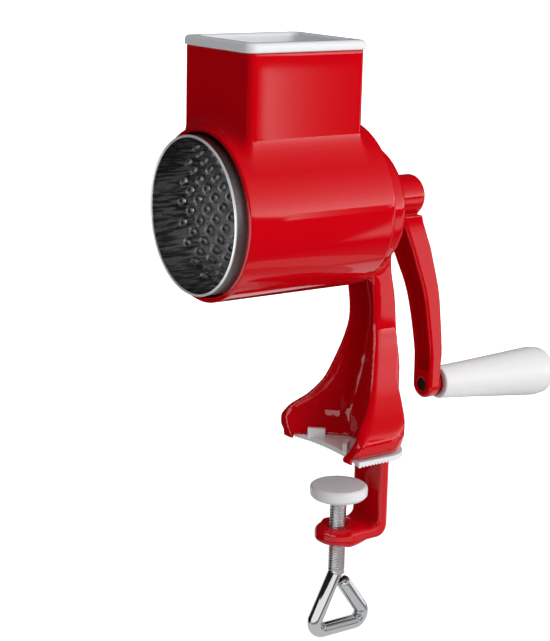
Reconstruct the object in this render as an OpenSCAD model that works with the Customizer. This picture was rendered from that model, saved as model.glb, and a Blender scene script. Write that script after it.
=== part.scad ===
// Hand cranked drum grinder for nuts: a barrel with a feed hopper on top stands on a flared
// leg, and a screw clamp under the foot holds it on the edge of a table.
// Millimetres. The origin is where the clamp screw's axis meets the underside of the foot pad, which is
// the top of the table. +Z is up, the barrel's open mouth looks along -Y and the crank is at +Y.

/* [Hopper] */
// Width of the hopper across the barrel
hopper_w = 49.8; // [44:0.2:56]
// Length of the hopper along the barrel
hopper_l = 57.8; // [48:0.2:62]
// Height of the hopper's rim above the top of the barrel
hopper_h = 31.5; // [22:0.5:45]
// Wall of the hopper
hopper_wall = 2.2; // [1.6:0.1:3]
// Radius of the hopper's upright corners
hopper_corner = 3; // [2.6:0.2:4]

/* [Pusher] */
// Width of the pusher's flange across the barrel
flange_w = 52; // [50:0.5:58]
// Length of the pusher's flange along the barrel
flange_l = 60; // [58:0.5:66]
// Thickness of the pusher's flange
flange_t = 4; // [2.5:0.25:6]
// Wall of the pusher
pusher_wall = 2; // [1.4:0.1:2.6]

/* [Barrel] */
// Radius of the barrel outside
barrel_r = 36.7; // [35.5:0.1:42]
// Length of the barrel from its mouth to its back wall
barrel_l = 75; // [68:0.5:90]
// Wall of the barrel
barrel_wall = 2.2; // [1.6:0.1:2.6]
// Height of the barrel's axis above the table
barrel_z = 113.5; // [110:0.5:140]
// Radius of the domed head behind the barrel
head_r = 28; // [25:0.5:31]
// How far the domed head stands out behind the barrel
head_depth = 18.5; // [15:0.5:22]

/* [Drum] */
// Room between the drum and the barrel's bore
drum_room = 1.2; // [1:0.1:4]
// Thickness of the drum's sheet
drum_sheet = 0.8; // [0.5:0.1:1.2]
// How far the drum stands out of the barrel's mouth
drum_out = 5; // [2:0.2:8]
// Rings of grating holes
hole_rings = 13; // [3:1:13]
// Grating holes in a ring
holes_per_ring = 22; // [8:1:26]
// Distance from one ring of holes to the next
ring_pitch = 4.1; // [3.2:0.1:4.1]
// Radius of a grating hole
hole_r = 1.1; // [0.6:0.1:1.4]

/* [Leg] */
// Half the width of the foot
foot_half = 31.3; // [26:0.1:40]
// How far the foot's horns reach in front of the clamp screw
horn_reach = 14.3; // [10:0.1:20]
// Half the width of the leg at its waist
waist_half = 10.5; // [9.5:0.1:13]
// Wall of the leg
leg_wall = 2.4; // [1.8:0.1:3]
// Distance from the clamp screw to the back of the foot
foot_back = 19; // [18:0.1:24]

/* [Clamp] */
// Half the width of the clamp's column
column_half = 10.6; // [8:0.1:14]
// Thickness of the clamp's column and arm
column_t = 5; // [4:0.1:6.5]
// Depth of the clamp arm's underside below the table
clamp_depth = 44; // [40:0.5:60]
// Radius of the boss round the clamp screw
boss_r = 10.6; // [9.5:0.1:14]
// Outside diameter of the clamp screw's thread
screw_d = 7.8; // [6.5:0.1:8.4]
// Pitch of the clamp screw's thread
screw_pitch = 1.25; // [1:0.05:1.75]
// Open height between the table's plane and the pressure pad
jaw_gap = 18; // [8:0.5:19]
// Diameter of the pressure pad
pad_d = 26.6; // [20:0.2:30]
// Thickness of the pressure pad
pad_t = 6.2; // [5.5:0.1:8]

/* [Crank] */
// Distance from the barrel's axis to the handle's axis
crank_throw = 90.6; // [75:0.2:100]
// How far the crank arm sweeps out behind the hub
arm_sweep = 22.3; // [12:0.1:28]
// Thickness of the crank arm beside the hub
arm_t = 11; // [8:0.2:13]
// Length of the handle
handle_l = 68.5; // [60:0.5:90]
// Radius of the handle's thin end
handle_r1 = 7.6; // [6.8:0.1:9]
// Radius of the handle's thick end
handle_r2 = 11.9; // [10:0.1:15]

/* [Hidden] */
$fn = 64;

// Clearances: between pieces that never move, between a shaft and its bore, and between loose pieces
seat_gap = 0.05;
run_gap = 0.06;
free_gap = 0.3;
// Overrun of every cut past the face it opens
cut = 1;
// Depth to which one shape of a solid is sunk in another
sink = 0.6;

// Barrel: places along its axis
barrel_back = -1.5;
barrel_mouth = barrel_back - barrel_l;
chamber_r = barrel_r - barrel_wall;
back_wall = 4.5;
chamber_back = barrel_back - back_wall;
barrel_edge = 2.4;
lip_edge = 0.8;

// Hopper
hopper_front_set = 6.4;
hopper_mid = barrel_mouth + hopper_front_set + hopper_l / 2;
hopper_top = barrel_z + barrel_r + hopper_h;
hopper_in_w = hopper_w - 2 * hopper_wall;
hopper_in_l = hopper_l - 2 * hopper_wall;

// Pusher
pusher_w = hopper_in_w - 2 * free_gap;
pusher_l = hopper_in_l - 2 * free_gap;
pusher_drum_gap = 5;
flange_corner = 4.5;
flange_edge = 1.4;

// Domed head
head_drop = 2.5;
head_z = barrel_z - head_drop;
head_round = 9;
head_back = barrel_back + head_depth;
head_wall = 2.6;
bearing_r = 9;

// Axle, bush and what sits on them
axle_r = 4;
bush_r = 6;
bush_flange_r = 9;
bush_flange_t = 1.5;
square_side = 5.4;
thread_r = 2.5;
thrust_r = 8;
thrust_t = 0.8;
hub_r = 12;
hub_t = 4;
plate_t = 1;
thrust_front = chamber_back - bush_flange_t - free_gap - thrust_t;
hub_back = thrust_front - seat_gap;
plate_back = hub_back - hub_t;
plate_front = plate_back - plate_t;
rivet_count = 4;
rivet_ring = 8.6;
rivet_r = 1.3;
rivet_head_r = 2;
rivet_head_t = 0.8;
washer_r = 6;
washer_t = 1;
nut_r = 8;
nut_t = 7;
nut_flutes = 12;
flute_r = 1;
thread_tail = 2;
hub_socket = 8;

// Drum
drum_r = chamber_r - drum_room;
rim_r = 1;
rim_grip = 0.35;
drum_front = barrel_mouth - drum_out;
drum_lap = 2.65;
first_ring = plate_front - drum_lap - (hole_rings - 1) * ring_pitch;

// Foot and leg outlines, each with shares of the leg's height: the flare from the waist to the foot, the
// reach of the front edge, and the bulge and heel of the back. The throat runs from the horns to the heel.
pad_plate_t = 2.5;
leg_top = head_z - head_r + sink;
flare_shares = [[0.03, 0.8], [0.06, 0.91], [0.1, 0.975], [0.12, 0.99], [0.15, 0.94], [0.18, 0.87],
    [0.24, 0.66], [0.3, 0.5], [0.36, 0.38], [0.48, 0.22], [0.6, 0.08], [0.72, 0], [1, 0.03],
    [1.14, 0.03]];
reach_shares = [[0.03, 1], [0.07, 0.98], [0.12, 0.923], [0.18, 0.779], [0.24, 0.532], [0.3, 0.374],
    [0.36, 0.264], [0.48, 0.136], [0.6, 0.04], [0.72, 0], [0.86, 0.04], [0.94, 0.12], [1, 0.42],
    [1.14, 0.42]];
back_shares = [[0.03, -1.04, 0.69], [0.06, -0.565, 0.76], [0.1, -0.15, 0.76], [0.18, 0.04, 0.52],
    [0.24, 0.22, 0.42], [0.3, 0.37, 0.31], [0.36, 0.52, 0.21], [0.42, 0.71, 0.16], [0.48, 0.86, 0.1],
    [0.6, 1, 0], [0.72, 1, 0], [0.86, 0.48, 0], [1, -0.19, 0], [1.14, -0.26, 0]];
throat_shares = [[0.9, -0.05], [0.891, 0], [0.716, 0.258], [0.575, 0.505], [0.46, 0.631], [0.36, 0.76],
    [0.3, 1.1]];
waist_front = 9.2;
leg_bulge = 3.9;
heel_t = 6.8;
foot_corner = 14;
outline_steps = 3;
leg_root = 13;

// Foot pad
pad_inset = 2.5;
pad_front = 12;
pad_arch = 5.1;
pad_rear = 1.4;
pad_notch_w = 2 * column_half + 2 * free_gap;
tooth_pitch = 1.8;
tooth_h = 0.8;
tooth_flat = 0.2;
tooth_l = 5;
tab_l = 8;
tab_t = 2;
tab_h = 4.1;
tab_x_share = 0.364;
tab_y = -5.2;
tab_turn = 48.6;
tab_sink = 0.9;

// Clamp: column, arm and boss
column_front = 16.1;
column_back = column_front + column_t;
column_root = 9;
column_bend = 6;
arm_z = -clamp_depth;
arm_swell = 0.5;
arm_top = arm_z + column_t + arm_swell;
boss_drop = 1;
boss_rise = 0.2;
boss_edge = 2.2;
boss_bottom = arm_z - boss_drop;
boss_top = arm_top + boss_rise;
insert_flat = 13;
insert_t = 4.6;
insert_cover = 1.2;
insert_z = boss_bottom + insert_cover;

// Clamp screw: places along its axis and the triangle that it is bent into
screw_r = screw_d / 2;
thread_depth = 0.65;
thread_flank = 0.5;
tip_r = 3;
pad_floor = 2.2;
pad_edge = 1.4;
pad_top = -jaw_gap;
pad_bottom = pad_top - pad_t;
tip_top = pad_top - pad_floor - free_gap;
thread_l = 36.2;
thread_top = pad_bottom - free_gap;
thread_bottom = thread_top - thread_l;
retainer_r = 4.7;
retainer_t = 0.8;
retainer_lap = 0.5;
retainer_set = 1.6;
retainer_z = tip_top - retainer_set;
wire_r = 3.4;
loop_w = 26;
loop_h = 23.5;
loop_r = 4.5;
loop_corners_share = [[0, 0], [-0.546, -1.204], [0.754, -1.204], [0.14, -0.245]];
// A straight run of the wire is this much thinner than a bend, and runs this far into it
run_step = 0.05;
run_sink = 0.3;

// Crank arm: height shares of the throw with the shares of the sweep, the thickness and the width
arm_back = 24;
hub_end = 37.6;
hub_arm_r = 9.4;
hub_arm_edge = 3.5;
hub_front = head_back + free_gap;
arm_half = 9;
arm_top_share = 0.088;
arm_neck = 5.4;
sweep_shares = [[-0.02, 0], [0.1, 0.03], [0.18, 0.15], [0.26, 0.31], [0.35, 0.47], [0.48, 0.69], [0.6, 0.82],
    [0.8, 0.97], [0.9, 1], [1.1, 1]];
arm_t_shares = [[-0.02, 1], [0.1, 1.04], [0.18, 1.04], [0.26, 1.02], [0.35, 0.96], [0.48, 0.86], [0.6, 0.79],
    [0.8, 0.69], [0.9, 0.62], [1.1, 0.58]];
arm_w_shares = [[arm_top_share, 1], [0.18, 1], [0.35, 0.88], [0.6, 0.77], [0.8, 0.73], [1, 0.72]];
arm_wall = 1.9;
arm_web = 3.4;
channel_top_share = 0.12;
channel_end_share = 0.92;

// Handle and its pin; the pin leans down a little towards the handle's end
handle_lean = 2.6;
pin_foot = 47.8;
pin_head_r = 3.1;
pin_head_t = 1.8;
pin_r = 2.5;
pin_collar_r = 3.1;
pin_collar_t = 2;
arm_boss_r = 5;
arm_boss_end = 8;
handle_gap = 0.5;
handle_washer_r = 6;
handle_washer_t = 0.5;
handle_dome_share = 0.16;
pin_l_share = 0.62;
handle_start = arm_boss_end + handle_washer_t + handle_gap;
handle_snap = 0.4;
dome_steps = 8;

// Colours
red = [0.8, 0.03, 0.04];
white = [0.93, 0.94, 0.95];
steel = [0.62, 0.63, 0.65];
dark_steel = [0.36, 0.36, 0.38];
brass = [0.76, 0.6, 0.3];

// Point i of a list, held at its ends
function knot(list, i) = list[max(0, min(len(list) - 1, i))];

// A smooth curve between b and c, led by their neighbours a and d
function smooth(a, b, c, d, t) =
    (2 * b + (c - a) * t + (2 * a - 5 * b + 4 * c - d) * t * t + (3 * b - a - 3 * c + d) * t * t * t) / 2;

// The points of a smooth line through a list of knots
function smooth_line(list, steps) = concat(
    [for (i = [0 : len(list) - 2], k = [0 : steps - 1])
        smooth(knot(list, i - 1), knot(list, i), knot(list, i + 1), knot(list, i + 2), k / steps)],
    [list[len(list) - 1]]);

// A list of points read backwards
function backwards(list) = [for (i = [len(list) - 1 : -1 : 0]) list[i]];

// A cylinder along Y
module rod_y(r, from_y, to_y) {
    translate([0, from_y, 0]) rotate([-90, 0, 0]) cylinder(h = to_y - from_y, r = r);
}

// A block given by its half width, its span along Y and its span along Z
module block(half_w, from_y, to_y, from_z, to_z) {
    translate([-half_w, from_y, from_z]) cube([2 * half_w, to_y - from_y, to_z - from_z]);
}

// An upright box with round corners, centred on its middle
module round_box(w, l, h, r) {
    translate([-w / 2 + r, -l / 2, 0]) cube([w - 2 * r, l, h]);
    translate([-w / 2, -l / 2 + r, 0]) cube([w, l - 2 * r, h]);
    for (x = [-1, 1], y = [-1, 1]) translate([x * (w / 2 - r), y * (l / 2 - r), 0]) cylinder(h = h, r = r);
}

// A solid of an outline in Y and Z, given as wide as twice half_w along X
module side_cut(points, half_w) {
    translate([-half_w, 0, 0]) rotate([90, 0, 90]) linear_extrude(height = 2 * half_w) polygon(points);
}

// A solid of an outline in X and Z between two places on Y
module front_cut(points, from_y, to_y) {
    translate([0, to_y, 0]) rotate([90, 0, 0]) linear_extrude(height = to_y - from_y) polygon(points);
}

// A shape of turning about the Y axis: points are [radius, place along Y]
module turned_y(points) {
    rotate([-90, 0, 0]) rotate_extrude() polygon(points);
}

// A ring of points on a quarter arc: radius rises from r - edge, place falls back by edge
function edge_arc(r, end, edge, side) =
    [for (a = [0 : 15 : 90]) [r - edge + edge * cos(a), end - side * (edge - edge * sin(a))]];

// Barrel with round edges, from its mouth to its back wall
module barrel_body() {
    turned_y(concat([[0, barrel_mouth]], backwards(edge_arc(barrel_r, barrel_mouth, lip_edge, -1)),
        edge_arc(barrel_r, barrel_back, barrel_edge, 1), [[0, barrel_back]]));
}

// Dome of the head: radius, depth of the straight part, depth of the crown
module dome(r, from_y, straight, crown) {
    turned_y(concat([[0, from_y], [r, from_y]],
        [for (k = [0 : dome_steps])
            [r * cos(90 * k / dome_steps), straight + crown * sin(90 * k / dome_steps)]]));
}

// Outlines of the leg: its side, its front edge, its back and the back of the space inside it
flare_line = smooth_line(flare_shares, outline_steps);
reach_line = smooth_line(reach_shares, outline_steps);
back_line = smooth_line(back_shares, outline_steps);
throat_line = smooth_line(throat_shares, outline_steps);
front_points = [for (p = reach_line) [waist_front - (waist_front + horn_reach) * p[1], p[0] * leg_top]];
back_points = [for (p = back_line) [foot_back + leg_bulge * p[1], p[0] * leg_top]];
heel_points = [for (p = back_line) [foot_back + leg_bulge * p[1] - leg_wall - heel_t * p[2], p[0] * leg_top]];
throat_points = [for (p = throat_line) [p[0] * foot_half, p[1] * (foot_back + horn_reach) - horn_reach]];
function side_points(wall, sign) =
    [for (p = flare_line) [sign * (waist_half - wall + (foot_half - waist_half) * p[1]), p[0] * leg_top]];

// Outline of the foot from above: horns in front, round corners behind
module foot_plan(height) {
    block(foot_half, -horn_reach, foot_back - foot_corner, 0, height);
    block(foot_half - foot_corner, -horn_reach, foot_back + leg_bulge + cut, 0, height);
    for (side = [-1, 1])
        translate([side * (foot_half - foot_corner), foot_back - foot_corner, 0])
            cylinder(h = height, r = foot_corner);
}

// Outer shape of the leg and foot, from the top of the pad plate to the head
module leg_outer() {
    intersection() {
        side_cut(concat(front_points, backwards(back_points)), foot_half + cut);
        front_cut(concat(side_points(0, 1), backwards(side_points(0, -1))), -horn_reach - cut,
            foot_back + leg_bulge + cut);
        foot_plan(leg_top + leg_root);
    }
}

// Space inside the leg, open to the front, down to the pad plate and up into the head
module leg_inner() {
    intersection() {
        side_cut(concat([[-horn_reach - cut, 0]], [[foot_back - leg_wall - heel_t, 0]], heel_points,
            [[-horn_reach - cut, heel_points[len(heel_points) - 1][1]]]), foot_half);
        front_cut(concat([[foot_half - leg_wall, 0]], side_points(leg_wall, 1),
            backwards(side_points(leg_wall, -1)), [[leg_wall - foot_half, 0]]),
            -horn_reach - 2 * cut, foot_back);
        linear_extrude(height = leg_top + leg_root)
            polygon(concat(throat_points, [for (p = backwards(throat_points)) [-p[0], p[1]]]));
    }
}

// Column below the foot, its bend and the arm that carries the boss, seen from the side
module clamp_side() {
    side_cut(concat(
        [[column_front, column_root], [column_front, arm_top + column_bend - column_t / 2]],
        [for (a = [0 : 15 : 90]) [column_front - (column_bend - column_t / 2) * (1 - cos(a)),
            arm_top + (column_bend - column_t / 2) * (1 - sin(a))]],
        [[0, arm_top], [0, arm_z - boss_drop + sink], [column_front - column_bend, arm_z]],
        [for (a = [90 : -15 : 0]) [column_back - column_bend + column_bend * cos(a),
            arm_z + column_bend - column_bend * sin(a)]],
        [[column_back, column_root]]), column_half);
}

// Hopper's outside, down to the barrel's axis
module hopper_outer() {
    translate([0, hopper_mid, barrel_z]) round_box(hopper_w, hopper_l, hopper_top - barrel_z, hopper_corner);
}

// Slots in the foot's inner walls for the pad's two tabs
module tab_place(side) {
    translate([side * tab_x_share * foot_half, tab_y, pad_plate_t - tab_sink])
        rotate([0, 0, -side * tab_turn]) children();
}

module housing() {
    color(red) difference() {
        union() {
            translate([0, 0, barrel_z]) difference() {
                barrel_body();
                rod_y(chamber_r, barrel_mouth - cut, chamber_back);
            }
            difference() {
                hopper_outer();
                translate([0, 0, barrel_z]) rod_y(chamber_r + sink, barrel_mouth - cut, barrel_back + cut);
            }
            difference() {
                union() {
                    translate([0, 0, head_z])
                        dome(head_r, barrel_back - sink, head_back - head_round, head_round);
                    leg_outer();
                }
                translate([0, 0, head_z]) dome(head_r - head_wall, barrel_back, head_back - head_round,
                    head_round - head_wall);
                leg_inner();
                translate([0, 0, barrel_z]) rod_y(chamber_r, barrel_mouth, barrel_back - sink);
            }
            translate([0, 0, barrel_z]) rod_y(bearing_r, chamber_back + sink, head_back - sink);
            clamp_side();
            // Boss with a round rim
            translate([0, 0, boss_bottom]) rotate_extrude() polygon(concat([[0, 0]],
                [for (a = [-90 : 15 : 90]) [boss_r - boss_edge + boss_edge * cos(a),
                    (a > 0 ? boss_top - boss_bottom - boss_edge : boss_edge) + boss_edge * sin(a)]],
                [[0, boss_top - boss_bottom]]));
        }
        // Feed opening down to the drum
        translate([0, hopper_mid, barrel_z])
            translate([-hopper_in_w / 2, -hopper_in_l / 2, 0])
                cube([hopper_in_w, hopper_in_l, hopper_top - barrel_z + cut]);
        // Bore for the axle bush
        translate([0, 0, barrel_z]) rod_y(bush_r + seat_gap, chamber_back - cut, head_back + cut);
        // Clearance hole for the screw and the pocket moulded round the thread insert
        translate([0, 0, boss_bottom - cut])
            cylinder(h = boss_top - boss_bottom + 2 * cut, r = screw_r + free_gap);
        translate([0, 0, insert_z])
            cylinder(h = insert_t, r = insert_flat / sqrt(3) + seat_gap, $fn = 6);
        for (side = [-1, 1]) tab_place(side)
            translate([-tab_l / 2 - seat_gap, -tab_t / 2 - seat_gap, 0])
                cube([tab_l + 2 * seat_gap, tab_t + 2 * seat_gap, tab_h + tab_sink + free_gap]);
    }
}

module pusher() {
    color(white) difference() {
        union() {
            translate([0, hopper_mid, hopper_top]) {
                round_box(flange_w - 2 * flange_edge, flange_l - 2 * flange_edge, flange_t,
                    flange_corner - flange_edge);
                round_box(flange_w, flange_l, flange_t - flange_edge, flange_corner);
            }
            difference() {
                translate([0, hopper_mid, barrel_z])
                    round_box(pusher_w, pusher_l, hopper_top - barrel_z + sink, hopper_corner - sink);
                translate([0, 0, barrel_z])
                    rod_y(drum_r + pusher_drum_gap, barrel_mouth - cut, barrel_back + cut);
            }
        }
        difference() {
            translate([0, hopper_mid, barrel_z])
                round_box(pusher_w - 2 * pusher_wall, pusher_l - 2 * pusher_wall,
                    hopper_top - barrel_z + flange_t + cut, hopper_corner - sink);
            translate([0, 0, barrel_z])
                rod_y(drum_r + pusher_drum_gap + pusher_wall, barrel_mouth - cut, barrel_back + cut);
        }
    }
}

// Outline of the foot pad from above: straight front, round rear corners
pad_half = foot_half - pad_inset;
pad_back = foot_back + pad_rear;
pad_outline = concat([[-pad_half, -pad_front], [pad_half, -pad_front]],
    [for (a = [0 : 10 : 90])
        [pad_half - foot_corner * (1 - cos(a)), pad_back - foot_corner * (1 - sin(a))]],
    [for (a = [90 : -10 : 0])
        [foot_corner * (1 - cos(a)) - pad_half, pad_back - foot_corner * (1 - sin(a))]]);

// Zigzag of teeth between two ends, closed below the pad: its valleys run out under the pad's underside
function teeth(from, to) = concat(
    [[from, -cut]],
    [for (k = [0 : floor((to - from) / tooth_pitch) - 1]) each [[from + k * tooth_pitch, -tooth_flat],
        [from + (k + 1 / 2) * tooth_pitch, tooth_h]]],
    [[from + floor((to - from) / tooth_pitch) * tooth_pitch, -tooth_flat],
        [from + floor((to - from) / tooth_pitch) * tooth_pitch, -cut]]);

module foot_pad() {
    arch_r = (pow(foot_half, 2) + pow(pad_arch, 2)) / (2 * pad_arch);
    color(white) {
        difference() {
            linear_extrude(height = pad_plate_t) polygon(pad_outline);
            translate([0, pad_arch - pad_front - arch_r, -cut])
                cylinder(h = pad_plate_t + 2 * cut, r = arch_r);
            block(pad_notch_w / 2, column_front - free_gap, pad_back + cut, -cut, pad_plate_t + cut);
            // Teeth along the front edge and along both sides
            front_cut(teeth(tooth_l - pad_half, pad_half - tooth_l),
                -pad_front - cut, tooth_l + pad_arch - pad_front);
            for (side = [-1, 1]) translate([side * (pad_half - tooth_l / 2 + cut), 0, 0])
                side_cut(teeth(tooth_pitch - pad_front, pad_back - foot_corner), tooth_l / 2 + cut - sink);
        }
        for (side = [-1, 1]) tab_place(side)
            translate([-tab_l / 2, -tab_t / 2, 0]) cube([tab_l, tab_t, tab_h + tab_sink]);
    }
}

module axle_bush() {
    color(white) translate([0, 0, barrel_z]) difference() {
        union() {
            rod_y(bush_r, chamber_back - sink, head_back);
            rod_y(bush_flange_r, chamber_back - bush_flange_t, chamber_back);
        }
        rod_y(axle_r + run_gap, chamber_back - bush_flange_t - cut, head_back + cut);
    }
}

module thread_insert() {
    color(brass) translate([0, 0, insert_z]) difference() {
        cylinder(h = insert_t, r = insert_flat / sqrt(3), $fn = 6);
        translate([0, 0, -cut]) cylinder(h = insert_t + 2 * cut, r = screw_r + run_gap);
    }
}

module drum_shell() {
    color(steel) translate([0, 0, barrel_z]) difference() {
        union() {
            difference() {
                rod_y(drum_r, drum_front + rim_r, plate_front + plate_t);
                rod_y(drum_r - drum_sheet, drum_front, plate_front + plate_t + cut);
            }
            // Rolled rim at the mouth
            translate([0, drum_front + rim_r, 0]) rotate([-90, 0, 0]) rotate_extrude()
                translate([drum_r - rim_grip, 0]) circle(r = rim_r);
        }
        // Grating holes in staggered rings
        for (ring = [0 : hole_rings - 1], k = [0 : holes_per_ring - 1])
            translate([0, first_ring + ring * ring_pitch, 0])
                rotate([0, (k + (ring % 2) / 2) * 360 / holes_per_ring, 0])
                    translate([drum_r - drum_sheet - cut, 0, 0]) rotate([0, 90, 0])
                        cylinder(h = drum_sheet + 2 * cut, r = hole_r, $fn = 16);
    }
}

module drum_end_plate() {
    color(steel) translate([0, 0, barrel_z]) difference() {
        rod_y(drum_r - drum_sheet - seat_gap, plate_front, plate_back);
        block(square_side / 2 + seat_gap, plate_front - cut, plate_back + cut, -square_side / 2 - seat_gap,
            square_side / 2 + seat_gap);
        for (k = [0 : rivet_count - 1]) rotate([0, 45 + k * 360 / rivet_count, 0])
            translate([rivet_ring, 0, 0]) rod_y(rivet_r + seat_gap, plate_front - cut, plate_back + cut);
    }
}

module drum_hub() {
    color(dark_steel) translate([0, 0, barrel_z]) difference() {
        rod_y(hub_r, plate_back, hub_back);
        block(square_side / 2 + seat_gap, plate_back - cut, hub_back + cut, -square_side / 2 - seat_gap,
            square_side / 2 + seat_gap);
        for (k = [0 : rivet_count - 1]) rotate([0, 45 + k * 360 / rivet_count, 0])
            translate([rivet_ring, 0, 0]) rod_y(rivet_r + seat_gap, plate_back - cut, hub_back + cut);
    }
}

module drum_rivets() {
    color(dark_steel) translate([0, 0, barrel_z])
        for (k = [0 : rivet_count - 1])
            rotate([0, 45 + k * 360 / rivet_count, 0]) translate([rivet_ring, 0, 0]) {
                rod_y(rivet_r, plate_front - sink / 2, hub_back - sink / 2);
                rod_y(rivet_head_r, plate_front - rivet_head_t, plate_front);
            }
}

module drum_washer() {
    color(steel) translate([0, 0, barrel_z]) difference() {
        rod_y(washer_r, plate_front - washer_t, plate_front);
        rod_y(thread_r + seat_gap, plate_front - washer_t - cut, plate_front + cut);
    }
}

module drum_nut() {
    color(white) translate([0, 0, barrel_z]) difference() {
        rod_y(nut_r, plate_front - washer_t - nut_t, plate_front - washer_t);
        rod_y(thread_r + seat_gap, plate_front - washer_t - nut_t - cut, plate_front - washer_t + cut);
        for (k = [0 : nut_flutes - 1])
            rotate([0, k * 360 / nut_flutes, 0]) translate([nut_r + flute_r / 2, 0, 0])
                rod_y(flute_r, plate_front - washer_t - nut_t - cut, plate_front - washer_t + cut);
    }
}

module crank_axle() {
    color(steel) translate([0, 0, barrel_z]) {
        rod_y(axle_r, hub_back, hub_front + hub_socket / 2);
        block(square_side / 2, plate_front, hub_back + sink, -square_side / 2, square_side / 2);
        rod_y(thread_r, plate_front - washer_t - nut_t - thread_tail, plate_front + sink);
        block(square_side / 2, hub_front, hub_front + hub_socket, -square_side / 2, square_side / 2);
    }
}

module thrust_washer() {
    color(white) translate([0, 0, barrel_z]) difference() {
        rod_y(thrust_r, thrust_front, thrust_front + thrust_t);
        rod_y(axle_r + seat_gap, thrust_front - cut, thrust_front + thrust_t + cut);
    }
}

// Curves of the crank arm seen from the side and from behind
sweep_line = smooth_line(sweep_shares, outline_steps);
arm_t_line = smooth_line(arm_t_shares, outline_steps);
arm_w_line = smooth_line(arm_w_shares, outline_steps);
function arm_inner(step) = [for (p = sweep_line) [arm_back + arm_sweep * p[1] + step, -p[0] * crank_throw]];
arm_outer = [for (k = [0 : len(sweep_line) - 1])
    [arm_back + arm_sweep * sweep_line[k][1] + arm_t * arm_t_line[k][1], -sweep_line[k][0] * crank_throw]];
function arm_edge(wall, sign) = [for (p = arm_w_line) [sign * (arm_half * p[1] - wall), -p[0] * crank_throw]];
arm_tip_r = arm_half * arm_w_shares[len(arm_w_shares) - 1][1];

module crank_arm() {
    color(red) translate([0, 0, barrel_z]) difference() {
        union() {
            // Hub with a round end
            turned_y(concat([[0, hub_front], [hub_arm_r, hub_front]],
                edge_arc(hub_arm_r, hub_end, hub_arm_edge, 1), [[0, hub_end]]));
            difference() {
                intersection() {
                    side_cut(concat(arm_inner(0), backwards(arm_outer)), arm_half + cut);
                    union() {
                        front_cut(concat(arm_edge(0, 1), backwards(arm_edge(0, -1))), hub_front,
                            arm_back + arm_sweep + arm_t + cut);
                        translate([0, 0, -crank_throw])
                            rod_y(arm_tip_r, hub_front, arm_back + arm_sweep + arm_t + cut);
                        // Neck between the hub and the wide bar
                        block(arm_neck, hub_front, arm_back + arm_sweep + arm_t + cut,
                            -crank_throw * arm_top_share - sink, 0);
                    }
                }
                // Channel along the arm's inner side
                intersection() {
                    side_cut(concat(arm_inner(-cut), backwards([for (k = [0 : len(arm_outer) - 1])
                        [arm_outer[k][0] - arm_web, arm_outer[k][1]]])), arm_half);
                    front_cut(concat(arm_edge(arm_wall, 1), backwards(arm_edge(arm_wall, -1))), hub_front,
                        arm_back + arm_sweep + arm_t);
                    block(arm_half, hub_front, arm_back + arm_sweep + arm_t, -crank_throw * channel_end_share,
                        -crank_throw * channel_top_share);
                }
            }
            handle_frame() rod_y(arm_boss_r, arm_wall, arm_boss_end);
        }
        block(square_side / 2, hub_front - cut, hub_front + hub_socket, -square_side / 2, square_side / 2);
        rod_y(axle_r + seat_gap, hub_front - cut, hub_front + hub_socket / 2);
        handle_frame() rod_y(pin_r + seat_gap, -cut, arm_boss_end + cut);
        handle_frame() rod_y(pin_head_r + seat_gap, -arm_sweep, pin_head_t);
    }
}

// Frame of the handle's pin: its origin is at the pin's head, Y runs along the pin
module handle_frame() {
    translate([0, pin_foot - cut, -crank_throw]) rotate([-handle_lean, 0, 0]) children();
}

module handle_pin() {
    pin_end = handle_start + handle_l * pin_l_share;
    color(steel) translate([0, 0, barrel_z]) handle_frame() {
        rod_y(pin_head_r, 0, pin_head_t);
        rod_y(pin_r, pin_head_t - sink, pin_end);
        rod_y(pin_collar_r, pin_end - pin_collar_t, pin_end);
    }
}

module handle_washer() {
    color(steel) translate([0, 0, barrel_z]) handle_frame() difference() {
        rod_y(handle_washer_r, arm_boss_end, arm_boss_end + handle_washer_t);
        rod_y(pin_r + seat_gap, arm_boss_end - cut, arm_boss_end + handle_washer_t + cut);
    }
}

module handle_knob() {
    pin_end = handle_start + handle_l * pin_l_share;
    straight = handle_l * (1 - handle_dome_share);
    color(white) translate([0, 0, barrel_z]) handle_frame() difference() {
        translate([0, handle_start, 0]) turned_y(concat([[0, 0], [handle_r1 - sink, 0], [handle_r1, sink]],
            [for (k = [0 : dome_steps]) [handle_r2 * cos(90 * k / dome_steps),
                straight + handle_l * handle_dome_share * sin(90 * k / dome_steps)]]));
        rod_y(pin_r + run_gap, handle_start - cut, pin_end);
        rod_y(pin_collar_r + run_gap, pin_end - pin_collar_t - handle_snap, pin_end + handle_snap);
    }
}

module clamp_pad() {
    color(white) difference() {
        translate([0, 0, pad_bottom]) rotate_extrude() polygon(concat(
            [[0, 0], [pad_d / 2 - pad_edge, 0], [pad_d / 2, pad_edge]],
            [for (a = [0 : 15 : 90])
                [pad_d / 2 - pad_edge * 2 * (1 - cos(a)), pad_t - pad_edge * (1 - sin(a))]],
            [[0, pad_t]]));
        translate([0, 0, pad_bottom - cut])
            cylinder(h = tip_top + free_gap - pad_bottom + cut, r = tip_r + run_gap);
        translate([0, 0, retainer_z - free_gap / 2])
            cylinder(h = retainer_t + free_gap, r = retainer_r + free_gap / 2);
    }
}

// Profile of the threaded rod: [radius, height], from its plain lower end up over every ring of the thread
function thread_points(rings) = concat(
    [[0, thread_bottom], [screw_r, thread_bottom]],
    [for (k = [1 : rings]) each [
        [screw_r, thread_bottom + k * screw_pitch - thread_flank],
        [screw_r - thread_depth, thread_bottom + k * screw_pitch],
        [screw_r, thread_bottom + k * screw_pitch + thread_flank]]],
    [[screw_r, thread_top], [tip_r, thread_top], [tip_r, retainer_z - seat_gap],
        [tip_r - retainer_lap, retainer_z - seat_gap],
        [tip_r - retainer_lap, retainer_z + retainer_t + seat_gap],
        [tip_r, retainer_z + retainer_t + seat_gap], [tip_r, tip_top], [0, tip_top]]);

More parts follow.
